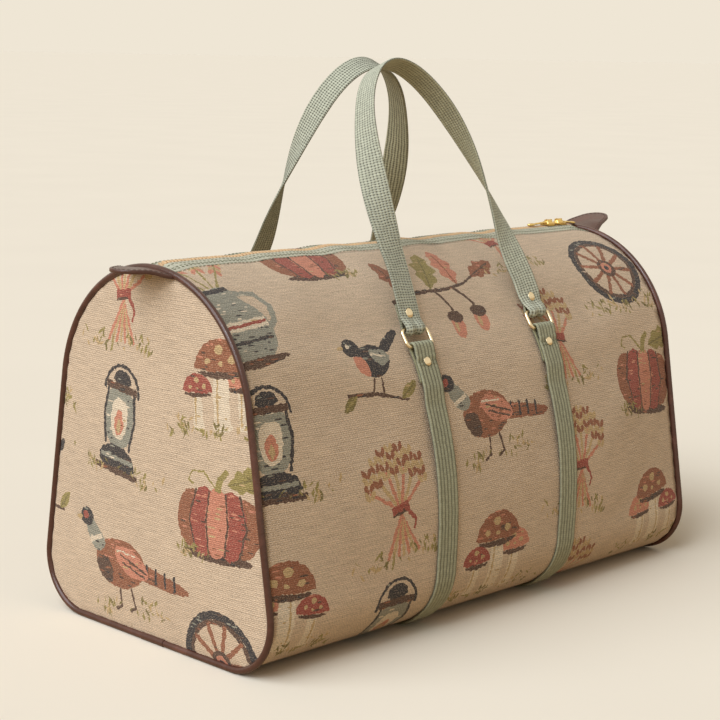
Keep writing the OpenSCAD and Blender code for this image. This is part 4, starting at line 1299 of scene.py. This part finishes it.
class CARPETBAG_OT_webbing(bpy.types.Operator):
    """Makes the lower straps and the two handles"""

    bl_idname = "carpetbag.webbing"
    bl_label = "Webbing"

    def execute(self, context):
        look = context.scene.carpetbag_colours
        finish = webbing_finish("strap webbing", tuple(look.strap), WEB_WIDTH * MM / 6, 0.0017, True)
        path = even(strap_path(), 1.6)
        tangent = np.gradient(path, axis=0)
        tangent /= np.linalg.norm(tangent, axis=1)[:, None]
        for row, flip in (("front", -1), ("back", 1)):
            for end, x in (("left", -LEG_X), ("right", LEG_X)):
                n = len(path)
                middles = np.column_stack([np.full(n, x), flip * path[:, 0], path[:, 1]])
                face = np.column_stack([np.zeros(n), -flip * tangent[:, 1], tangent[:, 0]])
                across = np.tile([1.0, 0, 0], (n, 1))
                obj = ribbon(f"{row}_{end}_web", middles, face, across, np.full(n, WEB_WIDTH), finish, 6)
                place(obj, "bag", "webbing", f"{row}_{end}_strap")
        lines = []
        x = np.linspace(-WEB_WIDTH / 2 + 2, WEB_WIDTH / 2 - 2, 12)
        for s in (RING_DROP + 11.6, RING_DROP + 14.0):
            row = front_point(LEG_X, np.array([s]), DOUBLE_OFF + WEB_T / 2 + 0.05)[0]
            lines += [([(side * LEG_X + d, flip * -row[1], row[2]) for d in x], False)
                      for side in (-1, 1) for flip in (-1, 1)]
        stitches = grow("strap_stitches", line_mesh("stitch", lines), stitch_tree(), pitch=0.0026,
                        stitch=(0.0011, 0.0005, 0.0004),
                        material=thread_finish("strap thread", tuple(look.strap_thread)))
        place(stitches, "bag", "webbing")
        finish = webbing_finish("handle webbing", tuple(look.webbing), WEB_WIDTH * MM / 8, 0.0021, False)
        middles, face, across, widths, gather = handle_stations()
        for row, flip in (("front", 1), ("back", -1)):
            mirror = np.array([1, flip, 1])
            obj = ribbon(f"{row}_handle_web", middles * mirror, face * mirror, across * mirror, widths,
                         finish, 8, gather)
            place(obj, f"{row}_grip", "webbing", f"{row}_handle")
        return {"FINISHED"}


class CARPETBAG_OT_zip(bpy.types.Operator):
    """Makes the zip's tapes, its teeth and the seams beside them"""

    bl_idname = "carpetbag.zip"
    bl_label = "Zip"

    def execute(self, context):
        look, size = context.scene.carpetbag_colours, context.scene.carpetbag_sizes
        tape_cloth = plain_weave_finish("zip tape", tuple(look.tape), 0.0011)
        amber = teeth_finish(tuple(look.teeth))
        thread = thread_finish("tape thread", tuple(look.tape_thread))
        xs = rows_between(-PANEL_END, PANEL_END, 4)
        ss = np.linspace(TAPE_START - 1.2, PANEL_TOP + 0.6, 7)
        pitch = size.tooth_pitch / MM
        lines = []
        gx, gs = (part.ravel() for part in np.meshgrid(xs, ss, indexing="ij"))
        drop = -0.1 - 0.25 * smooth01((gs - 5.4) / 1.8) - 0.6 * smooth01((gs - PANEL_TOP + 3) / 3)
        inner = (ss[-1] - gs) / (ss[-1] - ss[0])
        gs = gs - 2.4 * inner * smooth01((np.abs(gx) - PANEL_END + 8) / 6)
        tape = np.concatenate([front_point(gx, gs, drop), front_point(gx, gs, drop - TAPE_T)])
        uv = np.tile(np.column_stack([gx, gs]), (2, 1))
        upper = grid_faces(len(xs), len(ss))
        at = np.arange(len(gx)).reshape(len(xs), len(ss))
        rim = np.concatenate([at[:, 0], at[-1, 1:], at[-2::-1, -1], at[0, -2:0:-1]])
        wall = [(a, b, b + len(gx), a + len(gx)) for a, b in zip(rim, np.roll(rim, -1))]
        faces = upper.tolist() + (upper[:, ::-1] + len(gx)).tolist() + wall
        tooth = (TOOTH_SHARE * size.tooth_pitch, TOOTH_WIDTH, TOOTH_HEIGHT)
        tree = teeth_tree()
        count = int(2 * PANEL_END / pitch) + 1
        seam_x = rows_between(-PANEL_END + 3, PANEL_END - 3, 4)
        for row, flip in (("front", 1), ("back", -1)):
            obj = face_out(mesh_object(f"{row}_tape", tape * (1, flip, 1), faces, tape_cloth, uv))
            place(obj, "bag", "zip_tape", f"{row}_zip_tape")
            tx = (np.arange(count) - (count - 1) / 2 + 0.25 * flip) * pitch
            lift = front_point(tx, np.zeros(count), -TAPE_T / 2)[:, 2]
            points = np.column_stack([tx, np.full(count, -TOOTH_OUT * flip), lift])
            mesh = bpy.data.meshes.new("teeth")
            mesh.from_pydata((points * MM).tolist(), [], [])
            teeth = grow(f"{row}_teeth", mesh, tree, tooth=tooth, material=amber)
            place(teeth, "bag", "zip_teeth", f"{row}_zip_teeth")
            for across, off in ((7.4, -0.25), (12.2, -0.25), (14.4, -0.25), (PANEL_TOP + 2.4, 0.05)):
                line = front_point(seam_x, np.full(len(seam_x), across), off)
                lines.append((line * (1, flip, 1), False))
        seam_thread = grow("zip_stitches", line_mesh("stitch", lines), stitch_tree(), pitch=size.stitch_pitch,
                           stitch=(0.0014, 0.0006, 0.00035), material=thread)
        place(seam_thread, "bag", "zip_tape")
        return {"FINISHED"}


def dress(nodes, finish):
    """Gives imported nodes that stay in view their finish."""
    for node in nodes:
        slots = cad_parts[node].data.materials
        slots.clear()
        slots.append(finish)


def turned(name, bodies, material, sides, flutes=0, depth=0.0, base=0.0):
    """Closed bodies through ring stations (x, z, half width, half height), fluted and cut flat at a base."""
    a = np.arange(sides) * 2 * PI / sides
    swing = 1 + depth * np.cos(flutes * a)
    points, faces = [], []
    for stations in bodies:
        first = len(points)
        points += [(x, w * s * math.cos(t), max(base, z + h * s * math.sin(t)))
                   for x, z, w, h in stations for t, s in zip(a, swing)]
        last = len(points) - sides
        faces += [tuple(first + i for i in face) for face in ring_faces(len(stations), sides)]
        faces += [tuple(range(first, first + sides)), tuple(range(last, last + sides))]
    return face_out(mesh_object(name, points, faces, material))


def knob(x, z, radius):
    """Stations of a knob: a ball between two collars."""
    rows = []
    for t in np.linspace(-0.98, 0.98, 15):
        r = radius * math.sqrt(1 - t * t) * (1 + 0.1 * math.cos(9 * t))
        rows.append((x + 1.15 * radius * t, z, r, 0.82 * r))
    return rows


def pull(x, z, side, length, dip):
    """Stations of a pull: a collar, a slim neck and a drop that dips towards its end."""
    rows = [(3.5, 1.5, 1.1), (4.4, 2.1, 1.5), (5.4, 2.1, 1.5), (6.2, 1.5, 1.0), (9, 1.4, 0.9), (14, 1.6, 0.9),
            (18, 2.0, 1.0), (20, 1.4, 0.8), (22, 2.8, 1.2), (24.5, 3.2, 1.3), (27, 2.6, 1.2),
            (28.3, 1.5, 0.9), (PULL_LENGTH, 0.5, 0.3)]
    return [(x + side * r * length / PULL_LENGTH, z - dip * (r / PULL_LENGTH) ** 0.9, w, h)
            for r, w, h in rows]


class CARPETBAG_OT_metal(bpy.types.Operator):
    """Finishes the rings and rivets, and makes the zip's knobs, pulls and stops"""

    bl_idname = "carpetbag.metal"
    bl_label = "Metal fittings"

    def execute(self, context):
        look = context.scene.carpetbag_colours
        rings = [f"{row}_{end}_ring" for row in ("front", "back") for end in ("left", "right")]
        dress(rings + ["strap_rivets", "front_handle_rivets", "back_handle_rivets"],
              metal_finish("pale gold plate", tuple(look.metal)))
        gold = metal_finish("gold plate", tuple(look.zip_metal))
        dress(["left_slider", "right_slider"], gold)
        for name, side, length, dip in (("left", -1, PULL_LENGTH, 1.5), ("right", 1, 24.0, 3.2)):
            low, high = node_box(f"{name}_slider")
            x, z = (low[0] + high[0]) / 2, CHAIN_Z + PULL_HEIGHT
            head = turned(f"{name}_slider_knob", [knob(x, z - 1.2, KNOB_R)], gold, 30, KNOB_FLUTES, 0.13,
                          CHAIN_Z + 2)
            place(head, f"{name}_zip_slider", "metal")
            drop = turned(f"{name}_zip_drop", [pull(x, z, side, length, dip)], gold, 12)
            place(drop, f"{name}_zip_pull", "metal", f"{name}_pull")
        low, high = node_box("zip_end_stops")
        stops = []
        for side in (-1, 1):
            x = side * (high[0] - low[0]) / 2
            z = float(front_point(np.array([x]), np.zeros(1), -TAPE_T / 2)[0, 2])
            stops.append([(x + side * d, z, w, h) for d, w, h in
                          ((-3.0, 2.6, 1.0), (-2.6, 3.3, 1.4), (-0.6, 3.3, 1.4), (0.0, 2.6, 1.0))])
        pair = turned("zip_stops", stops, teeth_finish(tuple(look.teeth)), 16)
        place(pair, "bag", "metal", "zip_end_stops")
        return {"FINISHED"}


class CARPETBAG_OT_lining(bpy.types.Operator):
    """Finishes the lining and the base board inside the bag"""

    bl_idname = "carpetbag.lining"
    bl_label = "Lining and board"

    def execute(self, context):
        look = context.scene.carpetbag_colours
        dress(["lining", "left_end_lining", "right_end_lining"],
              plain_weave_finish("lining cloth", tuple(look.lining), 0.0008))
        dress(["base_board"], board_finish(tuple(look.board)))
        return {"FINISHED"}


def studio_world(backdrop):
    """Even fill light; the camera and the metal see a plain backdrop."""
    world = bpy.data.worlds.new("studio")
    world.use_nodes = True
    tree = world.node_tree
    tree.nodes.clear()
    light = add(tree, "ShaderNodeBackground", {"Color": (1.0, 0.86, 0.69, 1), "Strength": 0.385})
    seen = add(tree, "ShaderNodeBackground", {"Color": (*backdrop, 1), "Strength": 1.0})
    ray = add(tree, "ShaderNodeLightPath").outputs
    plain = ray["Is Camera Ray"]
    for kind in ("Is Glossy Ray", "Is Transmission Ray"):
        plain = add(tree, "ShaderNodeMath", {0: plain, 1: ray[kind]}, operation="MAXIMUM").outputs[0]
    mixed = add(tree, "ShaderNodeMixShader", {0: plain, 1: light.outputs[0], 2: seen.outputs[0]})
    tree.links.new(mixed.outputs[0], add(tree, "ShaderNodeOutputWorld").inputs[0])
    return world


def paper_finish(floor):
    """Pale paper that throws little light back on the bag."""
    f = Finish("paper", Roughness=0.95, Specular_IOR_Level=0.0)
    grain = f.between(f.noise((3, 3, 3), None, 2.0), 0.3, 0.7, 0.99, 1.01)
    camera = f.add("ShaderNodeLightPath").outputs["Is Camera Ray"]
    dull = tuple(c * k for c, k in zip(floor, (0.66, 0.54, 0.4)))
    return f.finish(f.shade(f.mix(camera, dull, floor), grain))


# The photograph's camera: its place in metres, its turns in radians, its sensor in millimetres
EYE = (-1.077256, -1.024621, 0.450426)
EYE_YAW, EYE_PITCH, EYE_ROLL = 0.796, 0.174, 0.017
SENSOR, FOCAL_PIXELS, PHOTO_PIXELS = 36, 1798.8, 720


class CARPETBAG_OT_stage(bpy.types.Operator):
    """Sets the floor, the lights and the camera"""

    bl_idname = "carpetbag.stage"
    bl_label = "Stage"

    def execute(self, context):
        look = context.scene.carpetbag_colours
        scene = context.scene
        paper = paper_finish(tuple(look.floor))
        far = 60000
        floor = mesh_object("floor", [(-far, -far, 0), (far, -far, 0), (far, far, 0), (-far, far, 0)],
                            [(0, 1, 2, 3)], paper, smooth=False)
        scene.world = studio_world(tuple(look.backdrop))
        for name, energy, spread, ray in (("window", 2.72, 65, (0.735, -0.07, -0.677)),
                                          ("lamp", 0.35, 12, (0.7, 0.25, -0.66))):
            lamp = bpy.data.lights.new(name, "SUN")
            lamp.energy, lamp.angle, lamp.color = energy, math.radians(spread), (0.955, 1.0, 1.075)
            obj = link(bpy.data.objects.new(name, lamp))
            obj.rotation_euler = Vector(ray).to_track_quat("-Z", "Y").to_euler()
        yaw, pitch, roll = EYE_YAW, EYE_PITCH, EYE_ROLL
        ahead = Vector((math.sin(yaw) * math.cos(pitch), math.cos(yaw) * math.cos(pitch), -math.sin(pitch)))
        right = Vector((math.cos(yaw), -math.sin(yaw), 0))
        up = right.cross(ahead)
        right, up = right * math.cos(roll) + up * math.sin(roll), up * math.cos(roll) - right * math.sin(roll)
        camera = bpy.data.cameras.new("camera")
        camera.sensor_width, camera.lens = SENSOR, SENSOR * FOCAL_PIXELS / PHOTO_PIXELS
        camera.clip_start, camera.clip_end = 0.05, 60
        eye = link(bpy.data.objects.new("camera", camera))
        eye.matrix_world = Matrix.Translation(EYE) @ Matrix((right, up, -ahead)).transposed().to_4x4()
        scene.camera = eye
        scene.view_settings.view_transform = "Standard"
        return {"FINISHED"}


def length_property(label, description, metres):
    return bpy.props.FloatProperty(name=label, description=description, default=metres, unit="LENGTH")


def angle_property(label, description, degrees):
    return bpy.props.FloatProperty(name=label, description=description, default=math.radians(degrees),
                                   subtype="ANGLE")


def colour_property(label, description, rgb):
    return bpy.props.FloatVectorProperty(name=label, description=description, default=linear(*rgb),
                                         subtype="COLOR", min=0, max=1)


class CarpetBagSizes(bpy.types.PropertyGroup):
    """Sizes of the bag's finish"""

    motif_scale: bpy.props.FloatProperty(name="Motif scale", description="Size of the print's motifs",
                                         default=1.15, min=0.4, max=2)
    cloth_grid: length_property("Cloth grid", "Distance between points of the cloth", 0.007)
    rumple: length_property("Rumple", "Depth of the cloth's hollows", 0.0006)
    pucker: length_property("Pucker", "Depth of the puckers along the seams", 0.0003)
    stitch_pitch: length_property("Stitch pitch", "Distance from one stitch to the next", 0.0038)
    tooth_pitch: length_property("Tooth pitch", "Distance from one zip tooth to the next", 0.0034)
    left_tilt: angle_property("Left tab tilt", "Rise of the left end tab", 1.5)
    right_tilt: angle_property("Right tab tilt", "Rise of the right end tab", 15)


class CarpetBagColours(bpy.types.PropertyGroup):
    """Colours of the bag's finish"""

    ground: colour_property("Cloth ground", "Ground of the printed cloth", (205, 183, 156))
    webbing: colour_property("Handle webbing", "Yarn of the handles", (187, 191, 171))
    strap: colour_property("Strap webbing", "Yarn of the lower straps", (161, 163, 136))
    leather: colour_property("Leather", "Piping and tabs", (78, 48, 39))
    metal: colour_property("Pale metal", "Rings and rivets", (240, 222, 186))
    zip_metal: colour_property("Zip metal", "Sliders, pulls and stops of the zip", (234, 202, 128))
    teeth: colour_property("Zip teeth", "Teeth of the zip", (190, 158, 118))
    tape: colour_property("Zip tape", "Tapes of the zip", (189, 188, 168))
    thread: colour_property("Tab thread", "Stitches of the tabs", (74, 54, 44))
    strap_thread: colour_property("Strap thread", "Stitches of the lower straps", (112, 112, 88))
    tape_thread: colour_property("Tape thread", "Stitches along the zip", (132, 134, 112))
    lining: colour_property("Lining", "Cloth inside the bag", (216, 203, 178))
    board: colour_property("Board", "Board inside the bottom", (109, 90, 72))
    floor: colour_property("Floor", "Paper that the bag stands on", (237, 230, 214))
    backdrop: colour_property("Backdrop", "Paper behind the bag", (239, 230, 213))


PIECES = (CARPETBAG_OT_cloth, CARPETBAG_OT_piping, CARPETBAG_OT_tabs, CARPETBAG_OT_webbing, CARPETBAG_OT_zip,
          CARPETBAG_OT_metal, CARPETBAG_OT_lining, CARPETBAG_OT_stage)


class CARPETBAG_PT_panel(bpy.types.Panel):
    """Lists the bag's pieces with their sizes and colours"""

    bl_idname = "CARPETBAG_PT_panel"
    bl_label = "Carpet bag"
    bl_space_type = "VIEW_3D"
    bl_region_type = "UI"
    bl_category = "Carpet bag"

    def draw(self, context):
        for piece in PIECES:
            self.layout.operator(piece.bl_idname)
        for group in (context.scene.carpetbag_sizes, context.scene.carpetbag_colours):
            box = self.layout.box()
            for name in group.bl_rna.properties.keys():
                if name not in ("rna_type", "name"):
                    box.prop(group, name)


CLASSES = (CarpetBagSizes, CarpetBagColours, *PIECES, CARPETBAG_PT_panel)


def register():
    for cls in CLASSES:
        bpy.utils.register_class(cls)
    bpy.types.Scene.carpetbag_sizes = bpy.props.PointerProperty(type=CarpetBagSizes)
    bpy.types.Scene.carpetbag_colours = bpy.props.PointerProperty(type=CarpetBagColours)


def unregister():
    del bpy.types.Scene.carpetbag_sizes
    del bpy.types.Scene.carpetbag_colours
    for cls in reversed(CLASSES):
        bpy.utils.unregister_class(cls)


def main():
    register()
    bpy.ops.carpetbag.stage()
    bpy.ops.carpetbag.cloth()
    bpy.ops.carpetbag.piping()
    bpy.ops.carpetbag.tabs()
    bpy.ops.carpetbag.webbing()
    bpy.ops.carpetbag.zip()
    bpy.ops.carpetbag.metal()
    bpy.ops.carpetbag.lining()


if __name__ == "__main__":
    main()
